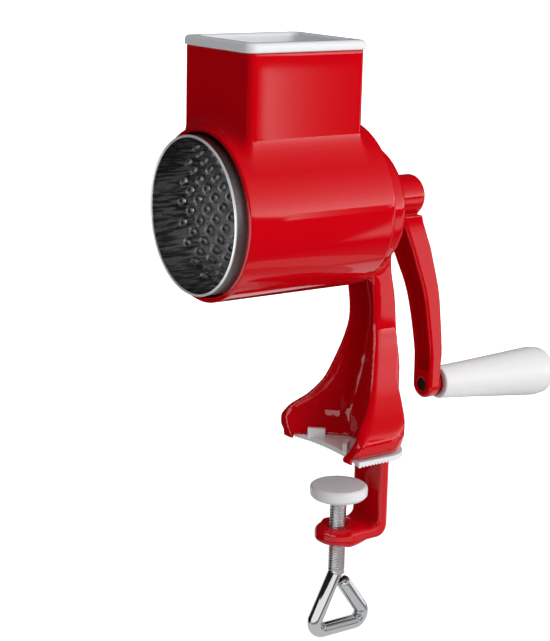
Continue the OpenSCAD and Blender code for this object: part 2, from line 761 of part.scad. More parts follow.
// Corner k of the wire's line, the heading of the line from it, and how far a bend sets back from it
function loop_at(k) = [loop_corners_share[k][0] * loop_w, loop_corners_share[k][1] * loop_h];
function heading(k) = let(step = loop_at(k + 1) - loop_at(k)) atan2(step[1], step[0]);
function ahead(k) = [cos(heading(k)), sin(heading(k))];
function setback(k) =
    k == 0 || k == len(loop_corners_share) - 1 ? 0 : loop_r * tan((heading(k) - heading(k - 1)) / 2);

// The wire bent into an open triangle: straight runs and a round bend at each of its two corners
module bent_wire() {
    last = len(loop_corners_share) - 1;
    rotate([90, 0, 90]) {
        for (k = [0 : last - 1])
            translate(loop_at(k) + (setback(k) - run_sink) * ahead(k)) rotate([0, 90, heading(k)])
                cylinder(h = norm(loop_at(k + 1) - loop_at(k)) - setback(k) - setback(k + 1) + 2 * run_sink,
                    r = wire_r - run_step);
        for (k = [1 : last - 1])
            translate(loop_at(k) - setback(k) * ahead(k - 1) + loop_r * [-ahead(k - 1)[1], ahead(k - 1)[0]])
                rotate([0, 0, heading(k - 1) - 90]) rotate_extrude(angle = heading(k) - heading(k - 1))
                    translate([loop_r, 0]) circle(r = wire_r);
    }
}

module clamp_screw() {
    rings = floor((thread_top - thread_bottom - screw_pitch) / screw_pitch);
    color(steel) {
        rotate_extrude() polygon(thread_points(rings));
        translate([0, 0, thread_bottom + sink]) bent_wire();
    }
}

module pad_retainer() {
    color(steel) translate([0, 0, retainer_z]) difference() {
        cylinder(h = retainer_t, r = retainer_r);
        translate([0, 0, -cut]) cylinder(h = retainer_t + 2 * cut, r = tip_r - retainer_lap + seat_gap);
    }
}

housing();
pusher();
foot_pad();
axle_bush();
thread_insert();
drum_shell();
drum_end_plate();
drum_hub();
drum_rivets();
drum_washer();
drum_nut();
crank_axle();
thrust_washer();
crank_arm();
handle_pin();
handle_washer();
handle_knob();
clamp_pad();
clamp_screw();
pad_retainer();
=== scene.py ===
import math

import bpy
import numpy as np
from mathutils import Matrix, Vector


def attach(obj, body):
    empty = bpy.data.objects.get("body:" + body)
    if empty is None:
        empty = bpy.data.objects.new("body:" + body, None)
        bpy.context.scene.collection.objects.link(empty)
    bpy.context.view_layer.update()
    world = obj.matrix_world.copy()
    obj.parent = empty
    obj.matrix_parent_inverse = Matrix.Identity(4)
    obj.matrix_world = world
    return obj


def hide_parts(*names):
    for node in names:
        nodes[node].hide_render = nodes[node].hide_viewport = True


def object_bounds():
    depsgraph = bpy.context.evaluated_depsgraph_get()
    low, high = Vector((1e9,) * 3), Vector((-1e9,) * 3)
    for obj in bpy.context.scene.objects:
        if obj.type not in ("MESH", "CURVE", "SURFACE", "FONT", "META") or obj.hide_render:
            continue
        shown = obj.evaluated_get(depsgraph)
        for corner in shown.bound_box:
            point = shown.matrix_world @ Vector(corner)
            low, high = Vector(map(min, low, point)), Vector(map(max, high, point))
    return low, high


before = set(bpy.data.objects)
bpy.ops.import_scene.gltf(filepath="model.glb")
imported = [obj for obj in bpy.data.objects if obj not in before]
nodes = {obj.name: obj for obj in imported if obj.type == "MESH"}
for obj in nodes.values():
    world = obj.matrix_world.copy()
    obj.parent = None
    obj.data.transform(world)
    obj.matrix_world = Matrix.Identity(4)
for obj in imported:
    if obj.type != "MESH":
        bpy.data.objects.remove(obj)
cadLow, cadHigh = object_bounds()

mm = 0.001
housingAxis = 113.5
print("frame loaded:", len(nodes), "nodes")

# Camera in millimetres and degrees, solved from the photograph's edges
cameraValues = {
    "lens": 94.48,
    "azimuth": 55.01,
    "elevation": 13.87,
    "roll": 1.32,
    "distance": 730.56,
    "lookAt": (0.0, -37.88, 63.84),
}


def makeCamera(values):
    # Camera turned by azimuth, elevation and roll, at its distance from the place that it looks at
    a, e, r = (math.radians(values[k]) for k in ("azimuth", "elevation", "roll"))
    back = Vector((math.sin(a) * math.cos(e), -math.cos(a) * math.cos(e), math.sin(e)))
    level = Vector((math.cos(a), math.sin(a), 0.0))
    above = back.cross(level)
    right = math.cos(r) * level + math.sin(r) * above
    up = math.cos(r) * above - math.sin(r) * level
    data = bpy.data.cameras.new("photoCamera")
    data.sensor_width, data.lens = 36.0, values["lens"]
    data.clip_start, data.clip_end = 0.01, 20.0
    camera = bpy.data.objects.new("photoCamera", data)
    bpy.context.scene.collection.objects.link(camera)
    place = Matrix((right, up, back)).transposed().to_4x4()
    place.translation = (Vector(values["lookAt"]) + back * values["distance"]) * mm
    camera.matrix_world = place
    bpy.context.scene.camera = camera


makeCamera(cameraValues)


def newMaterial(name):
    # A material with an empty node tree
    material = bpy.data.materials.new(name)
    material.use_nodes = True
    tree = material.node_tree
    tree.nodes.clear()
    return material, tree


def addNode(tree, kind, inputs=None, **settings):
    # A shader node with its inputs linked to sockets or set to values
    node = tree.nodes.new(kind)
    for key, value in settings.items():
        setattr(node, key, value)
    for key, value in (inputs or {}).items():
        if isinstance(value, bpy.types.NodeSocket):
            tree.links.new(value, node.inputs[key])
        else:
            node.inputs[key].default_value = value
    return node


def maths(tree, operation, first, second=None, clamp=False):
    # One sum of one or two sockets or numbers
    node = tree.nodes.new("ShaderNodeMath")
    node.operation, node.use_clamp = operation, clamp
    for slot, value in enumerate((first, second)):
        if isinstance(value, bpy.types.NodeSocket):
            tree.links.new(value, node.inputs[slot])
        elif value is not None:
            node.inputs[slot].default_value = value
    return node.outputs[0]


def product(tree, *values):
    # All the values multiplied, in their order
    result = values[0]
    for value in values[1:]:
        result = maths(tree, "MULTIPLY", result, value)
    return result


def axes(tree, kind="ShaderNodeTexCoord", output="Object"):
    # The three coordinates that a texture coordinate or UV map node gives
    return addNode(tree, "ShaderNodeSeparateXYZ", {0: addNode(tree, kind).outputs[output]}).outputs


def noise(tree, place, scale, detail):
    # Cloudy noise round one half
    texture = addNode(tree, "ShaderNodeTexNoise", {"Vector": place, "Scale": scale, "Detail": detail})
    return texture.outputs["Fac"]


def fade(tree, value, start, end, low=0.0, high=1.0):
    # low before start, high past end, straight in between
    return addNode(tree, "ShaderNodeMapRange", {
        "Value": value, "From Min": start, "From Max": end, "To Min": low, "To Max": high}).outputs[0]


def newGroup(name, inputs, outputs):
    # A shader node group with named float, colour or vector sockets
    group = bpy.data.node_groups.new(name, "ShaderNodeTree")
    for label, kind, value in inputs:
        socket = group.interface.new_socket(label, in_out="INPUT", socket_type="NodeSocket" + kind)
        socket.default_value = value
    for label, kind in outputs:
        group.interface.new_socket(label, in_out="OUTPUT", socket_type="NodeSocket" + kind)
    return group, group.nodes.new("NodeGroupInput"), group.nodes.new("NodeGroupOutput")


def makeMouldedSkin():
    # Moulded plastic: colour drifts a little, roughness has faint scuffs, a fine orange peel tilts the normal
    group, given, out = newGroup("mouldedSkin", [
        ("Colour", "Color", (0.8, 0.8, 0.8, 1.0)), ("Drift", "Float", 0.04), ("Roughness", "Float", 0.2),
        ("Scuffs", "Float", 0.05), ("Peel", "Float", 0.05), ("Peel Size", "Float", 900.0)],
        [("Colour", "Color"), ("Roughness", "Float"), ("Normal", "Vector")])
    place = addNode(group, "ShaderNodeTexCoord").outputs["Object"]
    broad, grain = noise(group, place, 22.0, 3.0), noise(group, place, 320.0, 4.0)
    swing = maths(group, "MULTIPLY", maths(group, "SUBTRACT", broad, 0.5), given.outputs["Drift"])
    tinted = addNode(group, "ShaderNodeHueSaturation", {
        "Value": maths(group, "ADD", 1.0, swing), "Color": given.outputs["Colour"]}).outputs["Color"]
    streak = addNode(group, "ShaderNodeMapping", {"Vector": place, "Scale": (1.0, 1.0, 0.12)}).outputs[0]
    marks = fade(group, noise(group, streak, 1400.0, 2.0), 0.6, 0.75)
    wear = maths(group, "ADD", maths(group, "SUBTRACT", grain, 0.5), maths(group, "MULTIPLY", marks, 0.6))
    rough = maths(group, "ADD", given.outputs["Roughness"],
                  maths(group, "MULTIPLY", given.outputs["Scuffs"], wear), clamp=True)
    peel = noise(group, place, given.outputs["Peel Size"], 2.0)
    bump = addNode(group, "ShaderNodeBump", {
        "Strength": given.outputs["Peel"], "Distance": 0.0002, "Height": peel})
    group.links.new(tinted, out.inputs["Colour"])
    group.links.new(rough, out.inputs["Roughness"])
    group.links.new(bump.outputs[0], out.inputs["Normal"])
    return group


def makeWornMetal():
    # Bare or plated metal: fine drawn lines along one way, cloudy smears in the roughness, specks of dirt
    group, given, out = newGroup("wornMetal", [
        ("Colour", "Color", (0.6, 0.6, 0.6, 1.0)), ("Roughness", "Float", 0.2), ("Smears", "Float", 0.1),
        ("Lines", "Float", 0.1), ("Line Stretch", "Vector", (1.0, 1.0, 0.05)), ("Dirt", "Float", 0.2)],
        [("Colour", "Color"), ("Roughness", "Float"), ("Normal", "Vector")])
    place = addNode(group, "ShaderNodeTexCoord").outputs["Object"]
    stretch = addNode(group, "ShaderNodeVectorMath", {0: place, 1: given.outputs["Line Stretch"]},
                      operation="MULTIPLY").outputs[0]
    lines, clouds = noise(group, stretch, 2600.0, 2.0), noise(group, place, 90.0, 4.0)
    specks = fade(group, noise(group, place, 700.0, 3.0), 0.58, 0.72)
    dirt = maths(group, "MULTIPLY", specks, given.outputs["Dirt"], clamp=True)
    colour = addNode(group, "ShaderNodeMix", data_type="RGBA")
    group.links.new(dirt, colour.inputs["Factor"])
    group.links.new(given.outputs["Colour"], colour.inputs["A"])
    colour.inputs["B"].default_value = (0.05, 0.045, 0.04, 1.0)
    smeared = maths(group, "MULTIPLY", given.outputs["Smears"], maths(group, "SUBTRACT", clouds, 0.4))
    rough = maths(group, "ADD", given.outputs["Roughness"], smeared, clamp=True)
    bump = addNode(group, "ShaderNodeBump", {
        "Strength": given.outputs["Lines"], "Distance": 0.00005, "Height": lines})
    group.links.new(colour.outputs["Result"], out.inputs["Colour"])
    group.links.new(rough, out.inputs["Roughness"])
    group.links.new(bump.outputs[0], out.inputs["Normal"])
    return group


mouldedSkin = makeMouldedSkin()
wornMetal = makeWornMetal()
plasticIor = 1.46


def plasticMaterial(name, colour, drift=0.05, roughness=0.2, scuffs=0.06, peel=0.05, peelSize=900.0):
    # Plastic whose colour, roughness and normal come from the moulded skin
    material, tree = newMaterial(name)
    skin = addNode(tree, "ShaderNodeGroup", node_tree=mouldedSkin)
    for label, value in (("Colour", (*colour, 1.0)), ("Drift", drift), ("Roughness", roughness),
                         ("Scuffs", scuffs), ("Peel", peel), ("Peel Size", peelSize)):
        skin.inputs[label].default_value = value
    shader = addNode(tree, "ShaderNodeBsdfPrincipled", {
        "Base Color": skin.outputs["Colour"], "Roughness": skin.outputs["Roughness"],
        "Normal": skin.outputs["Normal"], "IOR": plasticIor})
    addNode(tree, "ShaderNodeOutputMaterial", {"Surface": shader.outputs[0]})
    return material


def metalMaterial(name, colour, roughness=0.2, smears=0.1, lines=0.1, stretch=(1.0, 1.0, 0.05), dirt=0.2,
                  metallic=1.0):
    # Metal whose colour, roughness and normal come from the worn surface
    material, tree = newMaterial(name)
    worn = addNode(tree, "ShaderNodeGroup", node_tree=wornMetal)
    for label, value in (("Colour", (*colour, 1.0)), ("Roughness", roughness), ("Smears", smears),
                         ("Lines", lines), ("Line Stretch", stretch), ("Dirt", dirt)):
        worn.inputs[label].default_value = value
    shader = addNode(tree, "ShaderNodeBsdfPrincipled", {
        "Base Color": worn.outputs["Colour"], "Roughness": worn.outputs["Roughness"],
        "Normal": worn.outputs["Normal"], "Metallic": metallic})
    addNode(tree, "ShaderNodeOutputMaterial", {"Surface": shader.outputs[0]})
    return material


redGloss = plasticMaterial("redGloss", (0.60, 0.001, 0.006), drift=0.03, roughness=0.055, scuffs=0.03,
                           peel=0.012, peelSize=500.0)
whiteGloss = plasticMaterial("whiteGloss", (0.83, 0.84, 0.86), drift=0.02, roughness=0.22, scuffs=0.05,
                             peel=0.03)
paleSatin = plasticMaterial("paleSatin", (0.80, 0.81, 0.82), drift=0.03, roughness=0.34, scuffs=0.08,
                            peel=0.05)
gripPlastic = plasticMaterial("gripPlastic", (0.84, 0.84, 0.85), drift=0.03, roughness=0.3, scuffs=0.08,
                              peel=0.06)
bushPlastic = plasticMaterial("bushPlastic", (0.74, 0.74, 0.72), drift=0.04, roughness=0.42, scuffs=0.1,
                              peel=0.08)
drumSteel = metalMaterial("drumSteel", (0.66, 0.66, 0.67), roughness=0.15, smears=0.16, lines=0.25,
                          stretch=(1.0, 0.08, 1.0), dirt=0.4)
# outsidePaintedShade is painted shade: how much the colour of the drum's outside, inside the barrel's bore,
# is darkened
drumLook = {"plainZone": (-0.064, -0.056), "streakDepth": 0.75, "streakShare": 0.35, "skinR": 0.0329,
            "outsidePaintedShade": 0.5, "outsideRough": 0.4}


def streaksAndOutsideShade(material, v):
    # Short dark streaks along the drum's inside, strongest in its plain front zone, from noise drawn out
    # along Y. Past the radius skinR is the outside, which is rougher, and whose colour is darkened as painted
    # shade for the barrel's bore round it.
    tree = material.node_tree
    shader = next(node for node in tree.nodes if node.type == "BSDF_PRINCIPLED")
    worn = next(node for node in tree.nodes if node.type == "GROUP")
    place = addNode(tree, "ShaderNodeTexCoord").outputs["Object"]
    drawn = addNode(tree, "ShaderNodeVectorMath", {0: place, 1: (1.0, 0.14, 1.0)}, operation="MULTIPLY")
    streaks = fade(tree, noise(tree, drawn.outputs[0], 800.0, 3.0), 0.56, 0.44)
    side, along, height = addNode(tree, "ShaderNodeSeparateXYZ", {0: place}).outputs
    height = maths(tree, "SUBTRACT", height, housingAxis * mm)
    reach = maths(tree, "SQRT", maths(tree, "ADD", product(tree, side, side), product(tree, height, height)))
    edge = v["skinR"]
    zone = product(tree, fade(tree, along, *v["plainZone"], 1.0, v["streakShare"]),
                   fade(tree, reach, edge, edge - 0.0001))
    streakAndShadeDarkening = product(tree, streaks, zone, v["streakDepth"])
    # Painted shade: past skinR the drum's outside colour is darkened for the shade of the bore round it
    streakAndShadeDarkening = maths(tree, "ADD", streakAndShadeDarkening, fade(tree, reach, edge, edge + 0.0001, 0.0, v["outsidePaintedShade"]))
    tinted = addNode(tree, "ShaderNodeHueSaturation", {
        "Value": maths(tree, "SUBTRACT", 1.0, streakAndShadeDarkening), "Color": worn.outputs["Colour"]}).outputs["Color"]
    tree.links.new(tinted, shader.inputs["Base Color"])
    outside = fade(tree, reach, edge, edge + 0.0001, 0.0, v["outsideRough"])
    tree.links.new(maths(tree, "ADD", worn.outputs["Roughness"], outside), shader.inputs["Roughness"])


streaksAndOutsideShade(drumSteel, drumLook)
plateSteel = metalMaterial("plateSteel", (0.6, 0.6, 0.61), roughness=0.5, smears=0.1, lines=0.2, dirt=0.2)
hubSteel = metalMaterial("hubSteel", (0.40, 0.40, 0.42), roughness=0.3, smears=0.15, lines=0.2, dirt=0.3)
pinSteel = metalMaterial("pinSteel", (0.10, 0.095, 0.095), roughness=0.35, smears=0.1, lines=0.1, dirt=0.3)
threadZinc = metalMaterial("threadZinc", (0.76, 0.77, 0.79), roughness=0.34, smears=0.12, lines=0.1,
                           dirt=0.15)
rimSteel = metalMaterial("rimSteel", (0.85, 0.85, 0.86), roughness=0.3, smears=0.1, lines=0.1, dirt=0.1,
                         metallic=0.4)
brightChrome = metalMaterial("brightChrome", (0.74, 0.75, 0.77), roughness=0.045, smears=0.05, lines=0.04,
                             dirt=0.03)
insertBrass = metalMaterial("insertBrass", (0.75, 0.58, 0.28), roughness=0.25, smears=0.1, lines=0.1,
                            dirt=0.2)

nodeMaterials = {
    "housing": redGloss, "crank_arm": redGloss, "pusher": whiteGloss, "foot_pad": paleSatin,
    "clamp_pad": paleSatin, "axle_bush": bushPlastic, "drum_nut": bushPlastic, "thrust_washer": bushPlastic,
    "handle_knob": gripPlastic, "drum_shell": drumSteel, "drum_end_plate": plateSteel, "drum_hub": hubSteel,
    "drum_rivets": hubSteel, "drum_washer": hubSteel, "crank_axle": hubSteel, "handle_washer": hubSteel,
    "pad_retainer": hubSteel, "handle_pin": pinSteel, "clamp_screw": threadZinc, "thread_insert": insertBrass,
}
for name, material in nodeMaterials.items():
    mesh = nodes[name].data
    mesh.materials.clear()
    mesh.materials.append(material)
print("materials made:", len(nodeMaterials))


def curveThrough(knots, steps=12):
    # Smooth line through the knots: each span is a cubic whose ends lean along the chord beside them
    k = np.asarray(knots, float)
    padded = np.vstack([k[:1], k, k[-1:]])
    a, b, c, d = padded[:-3], padded[1:-2], padded[2:-1], padded[3:]
    t = np.linspace(0.0, 1.0, steps, endpoint=False)[:, None, None]
    spans = (2 * b + (c - a) * t + (2 * a - 5 * b + 4 * c - d) * t**2 + (3 * b - a - 3 * c + d) * t**3) / 2
    return np.vstack([spans.transpose(1, 0, 2).reshape(-1, k.shape[1]), k[-1:]])


def outlineField(points, step=0.25, margin=6.0):
    # Distance to a closed outline, negative inside. It is tabulated on a square grid, where the nearest
    # point of each side is found by projection and the sign by counting crossings, and read back by
    # bilinear interpolation.
    points = np.asarray(points, float)
    low, high = points.min(0) - margin, points.max(0) + margin
    u, v = np.meshgrid(*(np.arange(low[i], high[i] + step, step) for i in (0, 1)), indexing="ij")
    nearest, inside = np.full(u.shape, 1e9), np.zeros(u.shape, bool)
    for a, b in zip(points, np.roll(points, -1, 0)):
        e = b - a
        if e @ e < 1e-10:
            continue
        du, dv = u - a[0], v - a[1]
        t = np.clip((du * e[0] + dv * e[1]) / (e @ e), 0, 1)
        nearest = np.minimum(nearest, np.hypot(du - t * e[0], dv - t * e[1]))
        if e[1]:
            inside ^= ((a[1] <= v) != (b[1] <= v)) & (u < a[0] + dv / e[1] * e[0])
    table = np.where(inside, -nearest, nearest)

    def distance(p, q):
        # Blend of the four table places round (p, q), plus the way back to the table for places beyond it
        pu, qv = (p - low[0]) / step, (q - low[1]) / step
        iu = np.clip(np.floor(pu).astype(int), 0, table.shape[0] - 2)
        iv = np.clip(np.floor(qv).astype(int), 0, table.shape[1] - 2)
        fu, fv = np.clip(pu - iu, 0, 1), np.clip(qv - iv, 0, 1)
        beyond = np.hypot(pu - iu - fu, qv - iv - fv) * step
        near = table[iu, iv] * (1 - fu) + table[iu + 1, iv] * fu
        far = table[iu, iv + 1] * (1 - fu) + table[iu + 1, iv + 1] * fu
        return near * (1 - fv) + far * fv + beyond

    return distance


def join(a, b, r=0.0):
    # Union of two fields with a round fillet of radius r between them
    if r == 0.0:
        return np.minimum(a, b)
    return np.maximum(r, np.minimum(a, b)) - np.hypot(np.maximum(r - a, 0), np.maximum(r - b, 0))


def meet(a, b, r=0.0):
    # Common part of two fields, its edge rounded to radius r
    if r == 0.0:
        return np.maximum(a, b)
    return np.minimum(-r, np.maximum(a, b)) + np.hypot(np.maximum(r + a, 0), np.maximum(r + b, 0))


def carve(a, b, r=0.0):
    # First field less the second, the edge of the cut rounded to radius r
    return meet(a, -b, r)


def roundRect(p, q, halfP, halfQ, r):
    # Distance to a rectangle with round corners, centred on 0
    u, v = np.abs(p) - halfP + r, np.abs(q) - halfQ + r
    return np.minimum(np.maximum(u, v), 0) + np.hypot(np.maximum(u, 0), np.maximum(v, 0)) - r


def slopeOf(field, p, reach):
    # Unit gradient of a field by differences over twice the reach
    g = np.empty_like(p)
    for axis in range(3):
        shift = np.zeros(3)
        shift[axis] = reach
        g[:, axis] = field(*(p + shift).T) - field(*(p - shift).T)
    return g / np.maximum(np.linalg.norm(g, axis=1, keepdims=True), 1e-12)


def skinOf(field, low, high, step, reach=0.25):
    # Quads round the zero level of a field. Every grid edge that the surface crosses gives one quad between
    # its four cells. A cell's point is the least squares meeting point of the tangent planes at its
    # crossings, kept in the cell.
    low = np.asarray(low, float)
    count = np.ceil((np.asarray(high, float) - low) / step).astype(int) + 1
    ticks = [low[i] + step * np.arange(count[i]) for i in range(3)]
    x, y, z = ticks[0][:, None, None], ticks[1][None, :, None], ticks[2][None, None, :]
    value = np.broadcast_to(field(x, y, z), tuple(count)).astype(np.float32)
    solid = value < 0
    cells = count - 1
    spots, slopes, cornerCells, flips = [], [], [], []
    for axis in range(3):
        here = [slice(None)] * 3
        there = [slice(None)] * 3
        here[axis], there[axis] = slice(None, -1), slice(1, None)
        index = np.argwhere(solid[tuple(here)] != solid[tuple(there)])
        others = [k for k in range(3) if k != axis]
        keep = np.all([(index[:, k] > 0) & (index[:, k] < cells[k]) for k in others], axis=0)
        index = index[keep]
        ahead = index.copy()
        ahead[:, axis] += 1
        v0, v1 = value[tuple(index.T)].astype(float), value[tuple(ahead.T)].astype(float)
        start = low + index * step
        p = start.copy()
        lo, hi = np.zeros(len(index)), np.ones(len(index))
        t = v0 / (v0 - v1)
        for _ in range(3):
            p[:, axis] = start[:, axis] + t * step
            v = field(*p.T)
            same = (v < 0) == (v0 < 0)
            v0, lo = np.where(same, v, v0), np.where(same, t, lo)
            v1, hi = np.where(same, v1, v), np.where(same, hi, t)
            t = np.clip(lo + (hi - lo) * v0 / np.where(v0 == v1, 1e-9, v0 - v1), lo, hi)
        p[:, axis] = start[:, axis] + t * step
        spots.append(p)
        slopes.append(slopeOf(field, p, reach))
        a, b = others
        ring = []
        for da, db in ((1, 1), (0, 1), (0, 0), (1, 0)):
            cell = index.copy()
            cell[:, a] -= da
            cell[:, b] -= db
            ring.append(np.ravel_multi_index(cell.T, tuple(cells)))
        cornerCells.append(np.stack(ring, 1))
        flips.append(solid[tuple(index.T)] == (axis == 1))
    spots, slopes, ring, flip = (np.concatenate(part) for part in (spots, slopes, cornerCells, flips))
    used, slot = np.unique(ring, return_inverse=True)
    slot = slot.reshape(ring.shape)
    flat, times = slot.ravel(), np.repeat(np.arange(len(ring)), 4)
    total = np.bincount(flat, minlength=len(used)).astype(float)
    middle = np.stack([np.bincount(flat, spots[times, k], len(used)) for k in range(3)], 1) / total[:, None]
    n, offset = slopes[times], spots[times] - middle[flat]
    push = np.einsum("ij,ij->i", n, offset)
    system = np.zeros((len(used), 3, 3))
    target = np.zeros((len(used), 3))
    for i in range(3):
        target[:, i] = np.bincount(flat, n[:, i] * push, len(used))
        for j in range(3):
            system[:, i, j] = np.bincount(flat, n[:, i] * n[:, j], len(used))
    system += np.eye(3) * 0.08
    points = middle + np.linalg.solve(system, target[:, :, None])[:, :, 0]
    corner = low + np.stack(np.unravel_index(used, tuple(cells)), 1) * step
    points = np.clip(points, corner, corner + step)
    faces = np.where(flip[:, None], slot[:, ::-1], slot)
    centres = points[faces].mean(1)
    at = (0.72 * points[faces] + 0.28 * centres[:, None, :]).reshape(-1, 3)
    return points, faces, slopeOf(field, at, reach)


def addPiece(name, points, faces, material, body, stands, normals=None):
    # A smooth mesh piece in place, from points in millimetres, riding on its body
    mesh = bpy.data.meshes.new(name)
    mesh.from_pydata(np.asarray(points, float) * mm, [], faces if isinstance(faces, list) else faces.tolist())
    mesh.update()
    mesh.materials.append(material)
    mesh.polygons.foreach_set("use_smooth", [True] * len(mesh.polygons))
    if normals is not None:
        mesh.normals_split_custom_set(normals)
    piece = bpy.data.objects.new(name, mesh)
    bpy.context.scene.collection.objects.link(piece)
    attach(piece, body)
    if stands:
        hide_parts(*stands)
    print(name, len(mesh.polygons), "faces")


# The red moulding in millimetres: hopper, barrel, domed head, leg, foot and clamp. The share lists give the
# leg's outlines: flare and reach as (height, width or depth), back as (height, bulge, heel), and throat in
# plan as (half width, depth).
housing = {
    "barrelR": 36.7, "mouthY": -76.5, "backY": -1.5, "boreR": 34.5, "chamberBackY": -6.0,
    "backEdge": 2.4, "mouthEdge": 0.9, "cutEdge": 0.5,
    "hopperHalf": (24.9, 28.9), "hopperMidY": -41.2, "hopperTopZ": 181.7, "hopperCorner": 3.0,
    "hopperWall": 2.2, "headZ": 111.0, "headR": 28.0, "headStraightY": 8.0, "headCrown": 9.0,
    "headWall": 2.6, "bearingR": 9.0, "bearingY": (-5.5, 16.0), "axleHoleR": 6.05, "screwHoleR": 4.2,
    "hopperFillet": 5.5, "legFillet": 5.0, "legEdge": 3.0, "clampEdge": 1.8, "clampHalf": 10.6,
    "clampY": (16.1, 21.1), "clampTopZ": 9.0, "clampArmZ": (-38.5, -44.0, -44.4), "clampBends": (3.5, 6.0),
    "bossR": 10.6, "bossZ": -41.65, "bossHalf": 3.35, "bossEdge": 2.6,
    "legTop": 83.6, "footHalf": 31.3, "waistHalf": 10.5, "hornReach": 14.3, "footBack": 19.0,
    "waistFront": 9.2, "bulge": 3.9, "legWall": 2.4, "heel": 6.8, "planCorner": 14.0, "planBackY": 22.6,
    "toe": (-12.3, 0.3), "legEnds": (-24.0, -6.0, -1.0), "armRootY": 10.1,
    "cornerTuck": 4.5, "tuckHeight": 12.0, "tuckY": (-4.0, 4.0), "throatFill": 6.5, "fillZ": (2.5, 13.5),
}
flareShares = [(0.03, 0.8), (0.06, 0.91), (0.1, 0.975), (0.12, 0.99), (0.15, 0.94), (0.18, 0.87),
               (0.24, 0.66), (0.3, 0.5), (0.36, 0.38), (0.48, 0.22), (0.6, 0.08), (0.72, 0), (1, 0.03),
               (1.14, 0.03)]
reachShares = [(0.03, 1), (0.07, 0.98), (0.12, 0.923), (0.18, 0.779), (0.24, 0.532), (0.3, 0.374),
               (0.36, 0.264), (0.48, 0.136), (0.6, 0.04), (0.72, 0), (0.86, 0.04), (0.94, 0.12), (1, 0.42),
               (1.14, 0.42)]
backShares = [(0.03, -1.04, 0.69), (0.06, -0.565, 0.76), (0.1, -0.15, 0.76), (0.18, 0.04, 0.52),
              (0.24, 0.22, 0.42), (0.3, 0.37, 0.31), (0.36, 0.52, 0.21), (0.42, 0.71, 0.16),
              (0.48, 0.86, 0.1), (0.6, 1, 0), (0.72, 1, 0), (0.86, 0.48, 0), (1, -0.19, 0), (1.14, -0.26, 0)]
throatShares = [(0.9, -0.05), (0.891, 0), (0.716, 0.258), (0.575, 0.505), (0.46, 0.631), (0.36, 0.76),
                (0.3, 1.1)]


